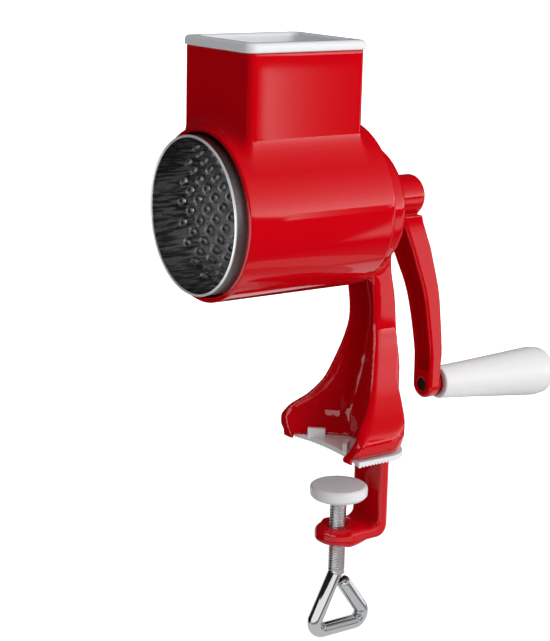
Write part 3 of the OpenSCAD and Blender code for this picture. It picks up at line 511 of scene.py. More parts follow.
def makeHousingField(h):
    # Barrel, hopper, domed head, leg and clamp joined by fillets, less the bore, the feed opening, the
    # hollow of the head and leg, and the screw's hole. The leg is the common part of its side, front and
    # plan outlines.
    flare, reach = curveThrough(flareShares), curveThrough(reachShares)
    back, throat = curveThrough(backShares), curveThrough(throatShares)
    top = h["legTop"]
    spread = h["footHalf"] - h["waistHalf"]
    frontEdge = np.column_stack([
        h["waistFront"] - (h["waistFront"] + h["hornReach"]) * reach[:, 1], reach[:, 0] * top])
    backEdge = np.column_stack([h["footBack"] + h["bulge"] * back[:, 1], back[:, 0] * top])
    heelEdge = np.column_stack([backEdge[:, 0] - h["legWall"] - h["heel"] * back[:, 2], backEdge[:, 1]])
    toeY, toeZ = h["toe"]
    toe = [(toeY, frontEdge[0, 1]), (toeY, toeZ), (frontEdge[0, 0], toeZ)]
    side = outlineField(np.vstack([frontEdge, backEdge[::-1], toe]))
    frontEnd, lowEnd, footEnd = h["legEnds"]
    sideIn = outlineField(np.vstack([
        [(frontEnd - 1, lowEnd), (heelEdge[0, 0], lowEnd)], heelEdge, [(frontEnd - 1, heelEdge[-1, 1])]]))

    def flared(wall):
        # The leg's front outline, moved in by the wall
        half, up = h["waistHalf"] - wall + spread * flare[:, 1], flare[:, 0] * top
        return np.vstack([np.column_stack([half, up]), np.column_stack([-half, up])[::-1]])

    outline, footIn = flared(0.0), h["footHalf"] - h["legWall"]
    front = outlineField(np.vstack([outline, [(outline[-1, 0], footEnd), (outline[0, 0], footEnd)]]))
    frontIn = outlineField(np.vstack([flared(h["legWall"]), [(-footIn, lowEnd), (footIn, lowEnd)]]))
    turn = np.radians(np.linspace(0, 90, 16))
    r = h["planCorner"]
    rear = np.column_stack([h["footHalf"] + r * (np.cos(turn) - 1), h["footBack"] + r * (np.sin(turn) - 1)])
    half = np.vstack([[(h["footHalf"], -h["hornReach"])], rear, [(r, h["planBackY"])]])
    plan = outlineField(np.vstack([half, (half * (-1, 1))[::-1]]))
    throatEdge = np.column_stack([throat[:, 0] * h["footHalf"],
                                  throat[:, 1] * (h["footBack"] + h["hornReach"]) - h["hornReach"]])
    throatEdge = np.vstack([[(throatEdge[0, 0], frontEnd)], throatEdge])
    throatIn = outlineField(np.vstack([throatEdge, (throatEdge * (-1, 1))[::-1]]))
    bend = np.radians(np.linspace(0, 90, 10))
    (clampIn, clampOut), (bendIn, bendOut) = h["clampY"], h["clampBends"]
    armTop, armLow, bossLow = h["clampArmZ"]
    inner = np.column_stack([clampIn - bendIn * (1 - np.cos(bend)), armTop + bendIn * (1 - np.sin(bend))])
    outer = np.column_stack([clampOut - bendOut * (1 - np.cos(bend)), armLow + bendOut * (1 - np.sin(bend))])
    clampSide = outlineField(np.vstack([
        [(clampIn, h["clampTopZ"])], inner, [(0, armTop), (0, bossLow), (h["armRootY"], armLow)], outer[::-1],
        [(clampOut, h["clampTopZ"])]]))
    axisZ, zHead, cut = housingAxis, h["headZ"], h["cutEdge"]
    (tuckFront, tuckBack), (fillLow, fillTop) = h["tuckY"], h["fillZ"]

    def dome(x, y, z, r, crown):
        # A cylinder closed by half an ellipsoid: its equation less 1, over its slope, is about the distance
        across = np.hypot(x, z - zHead)
        past = y - h["headStraightY"]
        ratio = np.sqrt((across / r) ** 2 + (past / crown) ** 2) + 1e-9
        steep = np.sqrt((across / r**2) ** 2 + (past / crown**2) ** 2) / ratio + 1e-9
        return np.where(past < 0, across - r, (ratio - 1) / steep)

    def field(x, y, z):
        # Distance to the moulding, negative inside: barrel and hopper, then head and leg, then the clamp
        across = np.hypot(x, z - axisZ)
        barrel = meet(across - h["barrelR"], y - h["backY"], h["backEdge"])
        barrel = meet(barrel, h["mouthY"] - y, h["mouthEdge"])
        dy = y - h["hopperMidY"]
        hopper = meet(roundRect(x, dy, *h["hopperHalf"], h["hopperCorner"]), z - h["hopperTopZ"], cut)
        body = join(barrel, meet(hopper, axisZ - z), h["hopperFillet"])
        head = meet(dome(x, y, z, h["headR"], h["headCrown"]), h["backY"] - 0.6 - y)
        inwards = np.clip((y - tuckFront) / (tuckBack - tuckFront), 0, 1)
        tuck = h["cornerTuck"] * np.clip(1 - z / h["tuckHeight"], 0, 1) ** 2 * inwards
        leg = meet(meet(side(y, z), front(x, z), h["legEdge"]), plan(x, y) + tuck, 2.0)
        fill = h["throatFill"] * np.clip((fillTop - z) / (fillTop - fillLow), 0, 1) ** 1.6
        hollow = meet(meet(sideIn(y, z), frontIn(x, z), 2.0), throatIn(x, y) + fill, 2.5)
        lower = join(head, leg, h["legFillet"])
        hollowHead = dome(x, y, z, h["headR"] - h["headWall"], h["headCrown"] - h["headWall"])
        lower = carve(lower, meet(hollowHead, h["backY"] - y), cut)
        lower = carve(lower, hollow, 0.9)
        body = join(body, lower, 3.0)
        body = carve(body, meet(across - h["boreR"], y - h["chamberBackY"], 0.6), cut)
        opening = roundRect(x, dy, *(half - h["hopperWall"] for half in h["hopperHalf"]), 1.0)
        body = carve(body, meet(opening, axisZ - z), cut)
        bearing = meet(meet(across - h["bearingR"], y - h["bearingY"][1]), h["bearingY"][0] - y)
        body = join(body, bearing)
        clamp = meet(clampSide(y, z), np.abs(x) - h["clampHalf"], h["clampEdge"])
        radial = np.hypot(x, y)
        boss = meet(radial - h["bossR"], np.abs(z - h["bossZ"]) - h["bossHalf"], h["bossEdge"])
        clamp = join(clamp, boss, 4.0)
        body = join(body, clamp, 1.5)
        body = carve(body, radial - h["screwHoleR"], 0.4)
        return carve(body, meet(across - h["axleHoleR"], -12.0 - y), 0.3)

    return field


housingBox = (-38.3, -78.1, -46.6), (38.3, 24.1, 183.3)
points, faces, normals = skinOf(makeHousingField(housing), *housingBox, 1.0, 0.5)
addPiece("housingSkin", points, faces, redGloss, "stand", ["housing"], normals)
print("housing done")


# The crank arm. Its share lists go down the throw: (throw, sweep), (throw, thickness), (throw, half width)
arm = {"throw": 90.6, "sweep": 22.3, "backY": 24.0, "thick": 11.0, "half": 9.0, "wall": 1.9, "web": 3.4,
       "edge": 1.6, "neck": 5.4, "neckLowZ": 104.0, "channelZ": (30.1, 102.6), "tipShare": 0.72,
       "hubR": 9.4, "hubY": (17.3, 37.6), "hubEdge": 3.6, "axleR": 4.05, "axleEndY": 21.3,
       "pinZ": 22.9, "pinY": 46.8, "lean": 2.6, "bossR": 5.0, "bossSpan": (1.9, 8.0), "pocketR": 3.15,
       "pocketEnd": 1.8, "boreR": 2.55}
sweepShares = [(-0.02, 0), (0.1, 0.03), (0.18, 0.15), (0.26, 0.31), (0.35, 0.47), (0.48, 0.69), (0.6, 0.82),
               (0.8, 0.97), (0.9, 1), (1.1, 1)]
armThickShares = [(-0.02, 1), (0.1, 1.04), (0.18, 1.04), (0.26, 1.02), (0.35, 0.96), (0.48, 0.86),
                  (0.6, 0.79), (0.8, 0.69), (0.9, 0.62), (1.1, 0.58)]
armWideShares = [(0.088, 1), (0.18, 1), (0.35, 0.88), (0.6, 0.77), (0.8, 0.73), (1, 0.72)]


def alongPin(x, y, z, values):
    # Distance from the handle's axis and place along it, from the pin's head
    lean = math.radians(values["lean"])
    dy, dz = y - values["pinY"], z - values["pinZ"]
    along = dy * math.cos(lean) - dz * math.sin(lean)
    return np.sqrt(x * x + (dy * math.sin(lean) + dz * math.cos(lean)) ** 2), along


def makeArmField(v):
    # A swept bar between its side and front outlines, less a channel along its inner side, joined to a hub
    sweep, thick, wide = curveThrough(sweepShares), curveThrough(armThickShares), curveThrough(armWideShares)
    axisZ = housingAxis
    innerY, z = v["backY"] + v["sweep"] * sweep[:, 1], axisZ - sweep[:, 0] * v["throw"]
    outerY = innerY + v["thick"] * thick[:, 1]
    side = outlineField(np.column_stack([np.r_[innerY, outerY[::-1]], np.r_[z, z[::-1]]]))
    groove = outlineField(np.column_stack([np.r_[innerY - 5, outerY[::-1] - v["web"]], np.r_[z, z[::-1]]]))
    zWide = axisZ - wide[:, 0] * v["throw"]

    def tapered(wall):
        # The arm's front outline, moved in by the wall
        half = v["half"] * wide[:, 1] - wall
        return outlineField(np.column_stack([np.r_[half, -half[::-1]], np.r_[zWide, zWide[::-1]]]))

    front, frontIn = tapered(0.0), tapered(v["wall"])
    tipR = v["half"] * v["tipShare"]
    channelLow, channelHigh = v["channelZ"]

    def field(x, y, z):
        # Distance to the arm, negative inside: bar less channel, then hub, then the boss with its bore
        tip = np.hypot(x, z - v["pinZ"]) - tipR
        neck = meet(np.abs(x) - v["neck"], v["neckLowZ"] - z)
        bar = meet(side(y, z), np.minimum(np.minimum(front(x, z), tip), neck), v["edge"])
        ends = np.maximum(z - channelHigh, channelLow - z)
        channel = meet(groove(y, z), meet(frontIn(x, z), ends, 2.5), 1.4)
        bar = carve(bar, channel, 0.8)
        across = np.hypot(x, z - axisZ)
        hub = meet(meet(across - v["hubR"], y - v["hubY"][1], v["hubEdge"]), v["hubY"][0] - y, 0.6)
        bar = join(bar, hub, 0.8)
        r, along = alongPin(x, y, z, v)
        boss = meet(meet(r - v["bossR"], along - v["bossSpan"][1], 0.6), v["bossSpan"][0] - along)
        bar = join(bar, boss, 1.5)
        bar = carve(bar, meet(r - v["pocketR"], along - v["pocketEnd"]), 0.3)
        return carve(bar, np.minimum(r - v["boreR"], np.maximum(across - v["axleR"], y - v["axleEndY"])))

    return field


points, faces, normals = skinOf(makeArmField(arm), (-10.5, 16.0, 14.0), (10.5, 60.0, 124.5), 0.62)
addPiece("armSkin", points, faces, redGloss, "crank", ["crank_arm"], normals)
print("crank arm done")


pusher = {"flangeHalf": (26.0, 30.0), "flangeCorner": 4.5, "bodyHalf": (22.4, 26.4), "bodyCorner": 2.4,
          "wall": 2.0, "top": 185.7, "flangeZ": 181.75, "lip": 1.9, "drumGapR": 38.3}


def makePusherField(v):
    # Round cornered flange on a round cornered box, hollow from the top, its lower end curved round the drum
    def field(x, y, z):
        # Distance to the pusher, negative inside: flange and box, less the inside
        dy = y - housing["hopperMidY"]
        across = np.hypot(x, z - housingAxis)
        flange = meet(meet(roundRect(x, dy, *v["flangeHalf"], v["flangeCorner"]), z - v["top"], v["lip"]),
                      v["flangeZ"] - z, 0.8)
        box = meet(roundRect(x, dy, *v["bodyHalf"], v["bodyCorner"]), z - v["top"] + 1.0)
        box = meet(box, np.maximum(v["drumGapR"] - across, housingAxis - z), 0.4)
        both = join(flange, box, 0.8)
        inside = roundRect(x, dy, *(half - v["wall"] for half in v["bodyHalf"]), 3.0)
        return carve(both, meet(inside, v["drumGapR"] + v["wall"] - across, 1.5), 1.6)

    return field


points, faces, normals = skinOf(makePusherField(pusher), (-27.4, -72.6, 112.6), (27.4, -9.8, 187.0), 0.74)
addPiece("pusherSkin", points, faces, whiteGloss, "pusher", ["pusher"], normals)
print("pusher done")


def turned(profile, sides=96):
    # Points of a profile of (radius, height) turned about Z, ring by ring, with quads between the rings.
    # The profile starts and ends on the axis, where all points of a ring are one.
    profile = np.asarray(profile, float)
    turn = np.linspace(0, 2 * np.pi, sides, endpoint=False)
    rings = profile[1:-1]
    body = np.stack([rings[:, None, 0] * np.cos(turn), rings[:, None, 0] * np.sin(turn),
                     np.repeat(rings[:, None, 1], sides, 1)], -1).reshape(-1, 3)
    points = np.vstack([body, [[0, 0, profile[0, 1]], [0, 0, profile[-1, 1]]]])
    a = np.arange(sides)
    b = (a + 1) % sides
    rows = np.arange(len(rings) - 1)[:, None] * sides
    quads = np.stack([rows + a, rows + b, rows + sides + b, rows + sides + a], -1).reshape(-1, 4).tolist()
    last = (len(rings) - 1) * sides
    quads += [[len(body), j, i] for i, j in zip(a.tolist(), b.tolist())]
    quads += [[len(body) + 1, last + i, last + j] for i, j in zip(a.tolist(), b.tolist())]
    return points, quads


def roundedProfile(corners, steps=7):
    # A profile whose corners (radius, height, rounding) become short curves, each led by its corner
    out = []
    corners = [np.array(c, float) for c in corners]
    for k, c in enumerate(corners):
        if len(c) < 3 or c[2] == 0 or k in (0, len(corners) - 1):
            out.append(c[:2])
            continue
        before, after = corners[k - 1][:2] - c[:2], corners[k + 1][:2] - c[:2]
        lb, la = np.linalg.norm(before), np.linalg.norm(after)
        cosine = (before @ after) / (lb * la)
        reach = min(c[2] / math.tan(math.acos(max(-1, min(1, cosine))) / 2), lb * 0.49, la * 0.49)
        p, q = c[:2] + before / lb * reach, c[:2] + after / la * reach
        for t in np.linspace(0, 1, steps):
            out.append((1 - t) ** 2 * p + 2 * t * (1 - t) * c[:2] + t * t * q)
    return np.array(out)


clampPad = {"r": 13.3, "low": -24.2, "high": -18.05, "dish": 0.45}


def makePadDisc(v):
    # A round pad turned about the screw's axis: flat below, its top slightly hollow from just inside the rim
    r, low, high = v["r"], v["low"], v["high"]
    return turned(roundedProfile([
        (0, low, 0), (3.1, low, 0), (4.2, low, 0.3), (r - 1.5, low, 1.2), (r, low + 1.6, 1.2),
        (r, high - 0.85, 1.6), (r - 1.2, high, 0.7), (9.5, high - 0.2, 2.0), (5.0, high - 0.4, 2),
        (0, high - v["dish"], 0)]))


points, faces = makePadDisc(clampPad)
addPiece("padDisc", points, faces, paleSatin, "clamp_pad", ["clamp_pad"])

grip = {"start": 9.0, "length": 67.2, "thin": 7.6, "middle": 8.9, "thick": 11.9, "boreR": 2.58,
        "boreEnd": 49.5}


def makeGrip(v):
    # A cone with round ends, bored for its pin, turned about Z and then laid along the pin
    end = v["start"] + v["length"]
    profile = roundedProfile([
        (0, v["boreEnd"], 0), (v["boreR"], v["boreEnd"], 0), (v["boreR"], v["start"], 0.2),
        (v["thin"], v["start"], 0.9), (v["middle"], v["start"] + 20, 30), (v["thick"] - 0.6, end - 16, 24),
        (v["thick"], end - 8, 10), (v["thick"] - 0.9, end - 1.2, 4.5), (7.0, end - 0.1, 5), (0, end, 0)], 9)
    points, faces = turned(profile, 112)
    lean = math.radians(arm["lean"])
    y, z = points[:, 2].copy(), -points[:, 1].copy()
    points[:, 1] = arm["pinY"] + y * math.cos(lean) + z * math.sin(lean)
    points[:, 2] = arm["pinZ"] + z * math.cos(lean) - y * math.sin(lean)
    return points, faces


points, faces = makeGrip(grip)
addPiece("gripCone", points, faces, gripPlastic, "handle", ["handle_knob"])
print("turned pieces done")


drum = {"r": 33.3, "sheet": 0.8, "frontY": -81.5, "backY": -12.65, "rings": 13, "perRing": 22, "pitch": 4.1,
        "firstY": -65.5, "holeR": 0.75, "bumpR": 2.3, "bumpH": 1.05, "bumpPower": 1.25,
        "snapBand": (0.3, 1.05), "rimLength": 0.6, "sidesPerSlice": 16, "rowsPerPitch": 8, "wireR": 0.55,
        "wireInset": 0.3}


def makeDrum(v):
    # Sheet rolled into a tube. Every punched place pushes the sheet out by a bell of its distance to the
    # place's centre, with a hole in the middle, and the mouth ends in a rolled rim.
    sides, step = v["perRing"] * v["sidesPerSlice"], v["pitch"] / v["rowsPerPitch"]
    rows = np.arange(v["frontY"] + v["rimLength"], v["backY"] + step / 2, step)
    rows += (v["firstY"] - rows[0]) % step
    turn = np.arange(sides) * 2 * np.pi / sides
    y, a = np.meshgrid(rows, turn, indexing="ij")
    ring = np.round((y - v["firstY"]) / v["pitch"])
    apart = 2 * np.pi / v["perRing"]
    best = np.full(y.shape, 1e9)
    toY, toA = np.zeros(y.shape), np.zeros(y.shape)
    for near in (-1, 0, 1):
        k = np.clip(ring + near, 0, v["rings"] - 1)
        shift = (k % 2) / 2
        centreA = (np.round(a / apart - shift) + shift) * apart
        dy, da = y - (v["firstY"] + k * v["pitch"]), (a - centreA) * v["r"]
        d = np.hypot(dy, da)
        closer = d < best
        best, toY, toA = np.where(closer, d, best), np.where(closer, dy, toY), np.where(closer, da, toA)
    snapNear, snapFar = v["snapBand"]
    snap = (best > snapNear) & (best < snapFar)
    scale = np.where(snap, v["holeR"] / np.maximum(best, 1e-6), 1.0)
    y, a = y + toY * (scale - 1), a + toA * (scale - 1) / v["r"]
    d = np.where(snap, v["holeR"], best)
    rise = v["bumpH"] * np.clip(1 - (d / v["bumpR"]) ** 2, 0, 1) ** v["bumpPower"]
    low = best <= snapFar
    beside = np.roll(low, -1, 1)
    keep = ~(low[:-1] & low[1:] & beside[:-1] & beside[1:])

    def shell(radius):
        # The sheet's face of this radius, raised by the bells
        r = radius + rise
        return np.stack([r * np.cos(a), y, housingAxis - r * np.sin(a)], -1).reshape(-1, 3)

    outer, inner = shell(v["r"] - 0.02), shell(v["r"] - v["sheet"])
    grid = np.arange(len(rows) * sides).reshape(len(rows), sides)
    right = np.roll(grid, -1, 1)
    quads = np.stack([grid[:-1], right[:-1], right[1:], grid[1:]], -1)[keep]
    count = len(rows) * sides
    faces = [quads[:, ::-1], quads + count]
    edges = np.concatenate([quads[:, [i, (i + 1) % 4]] for i in range(4)])
    key = edges[:, 0].astype(np.int64) * count + edges[:, 1]
    back = edges[:, 1].astype(np.int64) * count + edges[:, 0]
    lone = edges[~np.isin(key, back)]
    faces.append(np.stack([lone[:, 0], lone[:, 1], lone[:, 1] + count, lone[:, 0] + count], -1))
    points = np.vstack([outer, inner])
    faces = np.vstack(faces)
    used, slot = np.unique(faces, return_inverse=True)
    return points[used], slot.reshape(-1, 4)


points, faces = makeDrum(drum)
addPiece("drumSkin", points, faces, drumSteel, "crank", ["drum_shell"])


def torusRing(radius, wire, place, sides=176, around=20):
    # A round wire ring about the barrel's axis: a circle of radius wire carried round a circle
    turns = (np.linspace(0, 2 * np.pi, count, endpoint=False) for count in (sides, around))
    t, s = np.meshgrid(*turns, indexing="ij")
    r = radius + wire * np.cos(s)
    points = np.stack([r * np.cos(t), place + wire * np.sin(s), housingAxis + r * np.sin(t)], -1)
    grid = np.arange(sides * around).reshape(sides, around)
    down, over = np.roll(grid, -1, 0), np.roll(grid, -1, 1)
    faces = np.stack([grid, over, np.roll(down, -1, 1), down], -1).reshape(-1, 4)
    return points.reshape(-1, 3), faces


points, faces = torusRing(drum["r"] - drum["wireInset"], drum["wireR"], drum["frontY"] + drum["wireR"])
addPiece("drumRim", points, faces, rimSteel, "crank", ())
print("drum done")


screw = {"r": 3.9, "pitch": 1.25, "depth": 0.62, "low": -61.0, "high": -24.5, "tipR": 3.0, "tipZ": -20.5,
         "neckR": 2.5, "neckZ": (-22.15, -21.25), "wire": 3.4, "bend": 4.5, "topBend": 5.0, "loopTopZ": -60.1,
         "loopDepth": 28.3, "loopY": (-14.2, 19.6), "freeEnd": (3.65, 5.76), "chamfer": 0.7}


def tube(path, radius, sides):
    # A circle carried along a path in the plane X = 0, in the frame of X and the path's way turned a quarter
    path, radius = np.asarray(path, float), np.asarray(radius, float)
    ahead = np.gradient(path, axis=0)
    ahead /= np.linalg.norm(ahead, axis=1, keepdims=True)
    across = np.column_stack([ahead[:, 1], -ahead[:, 0]])
    turn = np.linspace(0, 2 * np.pi, sides, endpoint=False)
    reach = radius[:, None] * np.cos(turn)
    points = np.stack([radius[:, None] * np.sin(turn), path[:, None, 0] + reach * across[:, None, 0],
                       path[:, None, 1] + reach * across[:, None, 1]], -1).reshape(-1, 3)
    grid = np.arange(len(path) * sides).reshape(len(path), sides)
    over = np.roll(grid, -1, 1)
    faces = np.stack([grid[:-1], over[:-1], over[1:], grid[1:]], -1).reshape(-1, 4).tolist()
    return points, faces + [grid[0, ::-1].tolist(), grid[-1].tolist()]


def roundedPath(corners, radii, steps=16):
    # A line through corners, each replaced by the arc of its radius that touches both sides
    corners = [np.array(c, float) for c in corners]
    out = [corners[0]]
    for k in range(1, len(corners) - 1):
        c, before, after = corners[k], corners[k - 1] - corners[k], corners[k + 1] - corners[k]
        before, after = before / np.linalg.norm(before), after / np.linalg.norm(after)
        half = math.acos(before @ after) / 2
        reach = radii[k - 1] / math.tan(half)
        middle = c + (before + after) / np.linalg.norm(before + after) * radii[k - 1] / math.sin(half)
        start, end = c + before * reach - middle, c + after * reach - middle
        sweep = math.atan2(start[0] * end[1] - start[1] * end[0], start @ end)
        t = np.linspace(0, sweep, steps)[:, None]
        side = np.array([-start[1], start[0]])
        out += list(middle + np.cos(t) * start + np.sin(t) * side)
    out.append(corners[-1])
    return np.array(out)


def makeScrewLoop(v):
    # Wire from the rod's end round an open triangle, with a chamfered free end
    top, low = v["loopTopZ"], v["loopTopZ"] - v["loopDepth"]
    (left, right), (freeY, freeDrop) = v["loopY"], v["freeEnd"]
    path = roundedPath([(0, top + 2.6), (0, top + 0.4), (left, low), (right, low), (freeY, top - freeDrop)],
                       [v["topBend"], v["bend"], v["bend"]])
    gaps = np.r_[0, np.cumsum(np.linalg.norm(np.diff(path, axis=0), axis=1))]
    even = np.unique(np.concatenate([gaps, np.arange(0, gaps[-1], 0.8)]))
    path = np.column_stack([np.interp(even, gaps, path[:, k]) for k in (0, 1)])
    toEnd = even[-1] - even
    radius = v["wire"] - np.maximum(v["chamfer"] - toEnd, 0.0) * 0.9
    return tube(path, radius, 40)


def makeScrewRod(v):
    # Turned rod whose radius dips by a rounded wave of height less angle, so that the dips wind as a thread
    sides, perTurn = 48, 12
    z = np.arange(v["low"], v["high"] + 1e-6, v["pitch"] / perTurn)
    turn = np.linspace(0, 2 * np.pi, sides, endpoint=False)
    wave = 0.5 - 0.5 * np.cos(2 * np.pi * (z[:, None] / v["pitch"]) - turn)
    ends = np.clip(np.minimum((z - v["low"] - 0.8) / 1.5, (v["high"] - z) / 0.8), 0, 1)[:, None]
    radius = v["r"] - v["depth"] * wave**0.8 * ends
    radius[-1] -= 0.4
    body = np.stack([radius * np.cos(turn), radius * np.sin(turn), np.repeat(z[:, None], sides, 1)], -1)
    (neckLow, neckHigh), tip = v["neckZ"], v["tipR"]
    extra = [(tip, v["high"]), (tip, neckLow), (v["neckR"], neckLow), (v["neckR"], neckHigh), (tip, neckHigh),
             (tip, v["tipZ"] - 0.4), (tip - 0.4, v["tipZ"])]
    more = np.array([[(r * math.cos(t), r * math.sin(t), h) for t in turn] for r, h in extra])
    points = np.concatenate([body, more]).reshape(-1, 3)
    rows = len(z) + len(extra)
    grid = np.arange(rows * sides).reshape(rows, sides)
    over = np.roll(grid, -1, 1)
    faces = np.stack([grid[:-1], over[:-1], over[1:], grid[1:]], -1).reshape(-1, 4).tolist()
    return points, faces + [grid[0, ::-1].tolist(), grid[-1].tolist()]


points, faces = makeScrewRod(screw)
addPiece("screwRod", points, faces, threadZinc, "clamp_screw", ["clamp_screw"])
points, faces = makeScrewLoop(screw)
addPiece("screwLoop", points, faces, brightChrome, "clamp_screw", ["clamp_screw"])
print("clamp screw done")


# Studio: strengths of the light, and places in metres or degrees round the barrel's axis
studioValues = {
    "softFromRight": (0.32, 0.9),
    "softFront": 0.36,
    "softAbove": 0.28,
    "boxStrength": 3.3,
    "boxFade": 19.0,
    "boxEdge": (-5.5, 4.4),
    "darkLevel": 0.015,
    "floorDrop": 0.0138,
    "floorReach": 6000.0,
    "floorCard": 0.42,
    "legStrip": 1.2,
    "screwPatch": 0.6,
    "floorGlow": (0.6, 1.1),
    "screwBand": (120.0, -93.0, -32.0),
}


def makeWorld():
    # White to the camera. Soft light comes mostly from the right and little from the front. Mirrored rays see
    # a tall softbox on the right that fades upwards, by its angle round the barrel's axis.
    world = bpy.data.worlds.new("studio")
    bpy.context.scene.world = world
    world.use_nodes = True
    tree = world.node_tree
    tree.nodes.clear()
    x, y, z = axes(tree, output="Generated")
    turn = maths(tree, "MULTIPLY", maths(tree, "ARCTAN2", z, x), 180 / math.pi)
    box = maths(tree, "EXPONENT", maths(tree, "DIVIDE", turn, -studioValues["boxFade"]))
    above = maths(tree, "SUBTRACT", turn, fade(tree, y, 0.547, 0.59, *reversed(studioValues["boxEdge"])))
    edges = product(tree, fade(tree, above, -0.5, 0.5), fade(tree, turn, 95.0, 80.0),
                    fade(tree, y, -0.1, 0.25))
    mirrored = maths(tree, "ADD", product(tree, box, edges, studioValues["boxStrength"]),
                     studioValues["darkLevel"])
    soft = product(tree, fade(tree, x, -0.2, 0.9, *studioValues["softFromRight"]),
                   fade(tree, y, -0.6, 0.15, studioValues["softFront"], 1.0))
    soft = maths(tree, "ADD", soft, fade(tree, z, 0.3, 1.0, 0.0, studioValues["softAbove"]))
    path = addNode(tree, "ShaderNodeLightPath").outputs
    seen = maths(tree, "ADD", path["Is Camera Ray"], product(tree, path["Is Diffuse Ray"], soft))
    strength = maths(tree, "ADD", product(tree, mirrored, path["Is Glossy Ray"]), seen)
    lights = addNode(tree, "ShaderNodeBackground", {"Color": (1.0, 1.0, 1.0, 1.0), "Strength": strength})
    addNode(tree, "ShaderNodeOutputWorld", {"Surface": lights.outputs[0]})


def addPlane(name, corners, material):
    # A staged plane with four corners in millimetres
    mesh = bpy.data.meshes.new(name)
    mesh.from_pydata([Vector(c) * mm for c in corners], [], [(0, 1, 2, 3)])
    mesh.materials.append(material)
    plane = bpy.data.objects.new(name, mesh)
    bpy.context.scene.collection.objects.link(plane)
    return plane


def onlyMirrored(thing):
    # Hides a thing from all rays but the glossy ones
    thing.visible_camera = thing.visible_diffuse = thing.visible_shadow = thing.visible_transmission = False


def lightMaterial(name, strengthAlong):
    # Plain light whose strength is a function of the place along the first UV axis
    material, tree = newMaterial(name)
    along = axes(tree, "ShaderNodeUVMap", "UV")[0]
    light = addNode(tree, "ShaderNodeEmission", {"Strength": strengthAlong(tree, along)})
    addNode(tree, "ShaderNodeOutputMaterial", {"Surface": light.outputs[0]})
    return material


def glossCard(name, corners, strength, last=1.0):
    # A flat light that only mirrored rays see; its strength falls to the share last along the first side
    material = lightMaterial(name, lambda tree, along: product(
        tree, maths(tree, "POWER", last, along), strength))
    card = addPlane(name, corners, material)
    layer = card.data.uv_layers.new(name="UVMap")
    layer.data.foreach_set("uv", [0, 0, 1, 0, 1, 1, 0, 1])
    onlyMirrored(card)


bandParts = 64


def glossBand(name, start, end, strength):
    # Part of an upright cylinder round the clamp screw that only mirrored rays see, fading out at its ends
    radius, low, high = studioValues["screwBand"]
    turn = np.radians(np.linspace(start, end, bandParts + 1))
    rim = np.column_stack([radius * np.cos(turn), radius * np.sin(turn)])
    points = np.vstack([np.column_stack([rim, np.full(len(rim), h)]) for h in (low, high)])
    mesh = bpy.data.meshes.new(name)
    above = bandParts + 1
    mesh.from_pydata(points * mm, [], [(k, k + 1, k + 1 + above, k + above) for k in range(bandParts)])
    layer = mesh.uv_layers.new(name="UVMap")
    share = np.arange(bandParts + 1) / bandParts
    layer.data.foreach_set("uv", [c for a, b in zip(share, share[1:]) for c in (a, 0, b, 0, b, 1, a, 1)])
    mesh.materials.append(lightMaterial(name, lambda tree, along: product(
        tree, fade(tree, along, 0.0, 0.06), fade(tree, along, 1.0, 0.94), strength)))
    band = bpy.data.objects.new(name, mesh)
    bpy.context.scene.collection.objects.link(band)
    onlyMirrored(band)


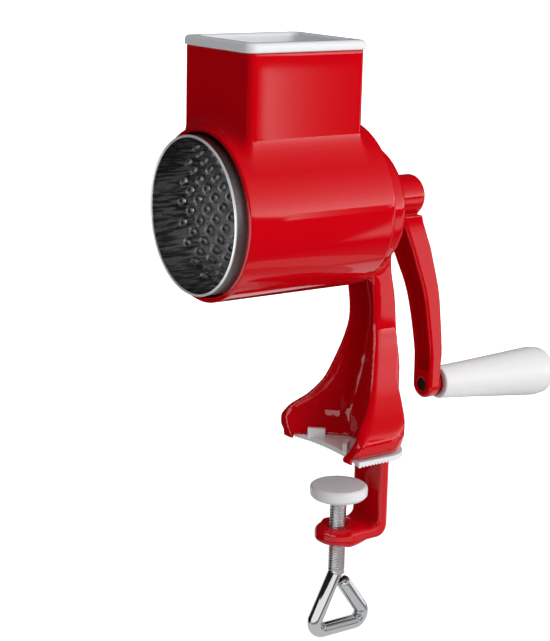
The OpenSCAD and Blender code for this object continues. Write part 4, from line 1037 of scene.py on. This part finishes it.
def makeFloor():
    # Pale floor: lit white with a faint shadow to the camera, whiter with distance. Mirrored rays see the
    # brightest of a dim card in the middle, a strip that runs away to the right, and a patch near the screw.
    level = (min(cadLow.z, -0.09) - studioValues["floorDrop"]) / mm
    material, tree = newMaterial("paleFloor")
    path = addNode(tree, "ShaderNodeLightPath").outputs
    px, py, _ = axes(tree)
    span = maths(tree, "SQRT", maths(tree, "ADD", product(tree, px, px), product(tree, py, py)))
    matte = addNode(tree, "ShaderNodeBsdfDiffuse", {"Color": (0.86, 0.86, 0.86, 1.0)})
    white = fade(tree, span, 0.12, 0.5, *studioValues["floorGlow"])
    glow = addNode(tree, "ShaderNodeEmission", {"Strength": product(tree, path["Is Camera Ray"], white)})
    seen = addNode(tree, "ShaderNodeAddShader", {0: matte.outputs[0], 1: glow.outputs[0]})
    card = product(tree, fade(tree, px, -0.03, 0.2, studioValues["floorCard"], 0.0),
                   fade(tree, px, -0.06, -0.035))
    aside = maths(tree, "SUBTRACT", py, product(tree, px, 0.83))
    strip = product(tree, fade(tree, aside, -0.025, -0.01, 0.0, studioValues["legStrip"]),
                    fade(tree, px, 0.24, 0.32), fade(tree, px, 1.0, 0.55))
    patch = product(tree, fade(tree, span, 0.11, 0.07), studioValues["screwPatch"])
    brightest = maths(tree, "MAXIMUM", maths(tree, "MAXIMUM", card, strip), patch)
    mirrored = addNode(tree, "ShaderNodeEmission", {"Strength": brightest})
    mixed = addNode(tree, "ShaderNodeMixShader", {
        0: path["Is Glossy Ray"], 1: seen.outputs[0], 2: mirrored.outputs[0]})
    addNode(tree, "ShaderNodeOutputMaterial", {"Surface": mixed.outputs[0]})
    far = studioValues["floorReach"]
    addPlane("floor", [(x * far, y * far, level) for x, y in ((-1, -1), (1, -1), (1, 1), (-1, 1))], material)


def addAreaLight(name, place, target, size, watts):
    # A rectangle of light at a place in millimetres, turned to its target and left out of reflections
    data = bpy.data.lights.new(name, "AREA")
    data.shape, data.size, data.size_y, data.energy = "RECTANGLE", size[0] * mm, size[1] * mm, watts
    lamp = bpy.data.objects.new(name, data)
    bpy.context.scene.collection.objects.link(lamp)
    lamp.location = Vector(place) * mm
    lamp.rotation_euler = (Vector(target) - Vector(place)).to_track_quat("-Z", "Y").to_euler()
    lamp.visible_glossy = False


makeWorld()
makeFloor()
addAreaLight("keyRight", (900, 250, 500), (0, -10, 80), (700, 700), 5.0)
addAreaLight("fillFront", (300, -900, 300), (0, -30, 60), (800, 800), 0.3)
glossBand("screwBandFront", -105.0, 14.0, 1.0)
glossBand("screwBandRight", 14.0, 62.0, 0.5)
glossBand("screwBandBack", 62.0, 200.0, 1.0)
glossCard("hopperCard", [(425, 210.5, 76), (425, 303, 76), (425, 303, 130), (425, 210.5, 130)], 2.6, 0.02)
glossCard("mouthCard", [(-55, -140, 40), (150, -140, 40), (150, -140, 127), (-55, -140, 127)], 2.6)
bpy.context.scene.view_settings.view_transform = "Standard"
print("studio built")
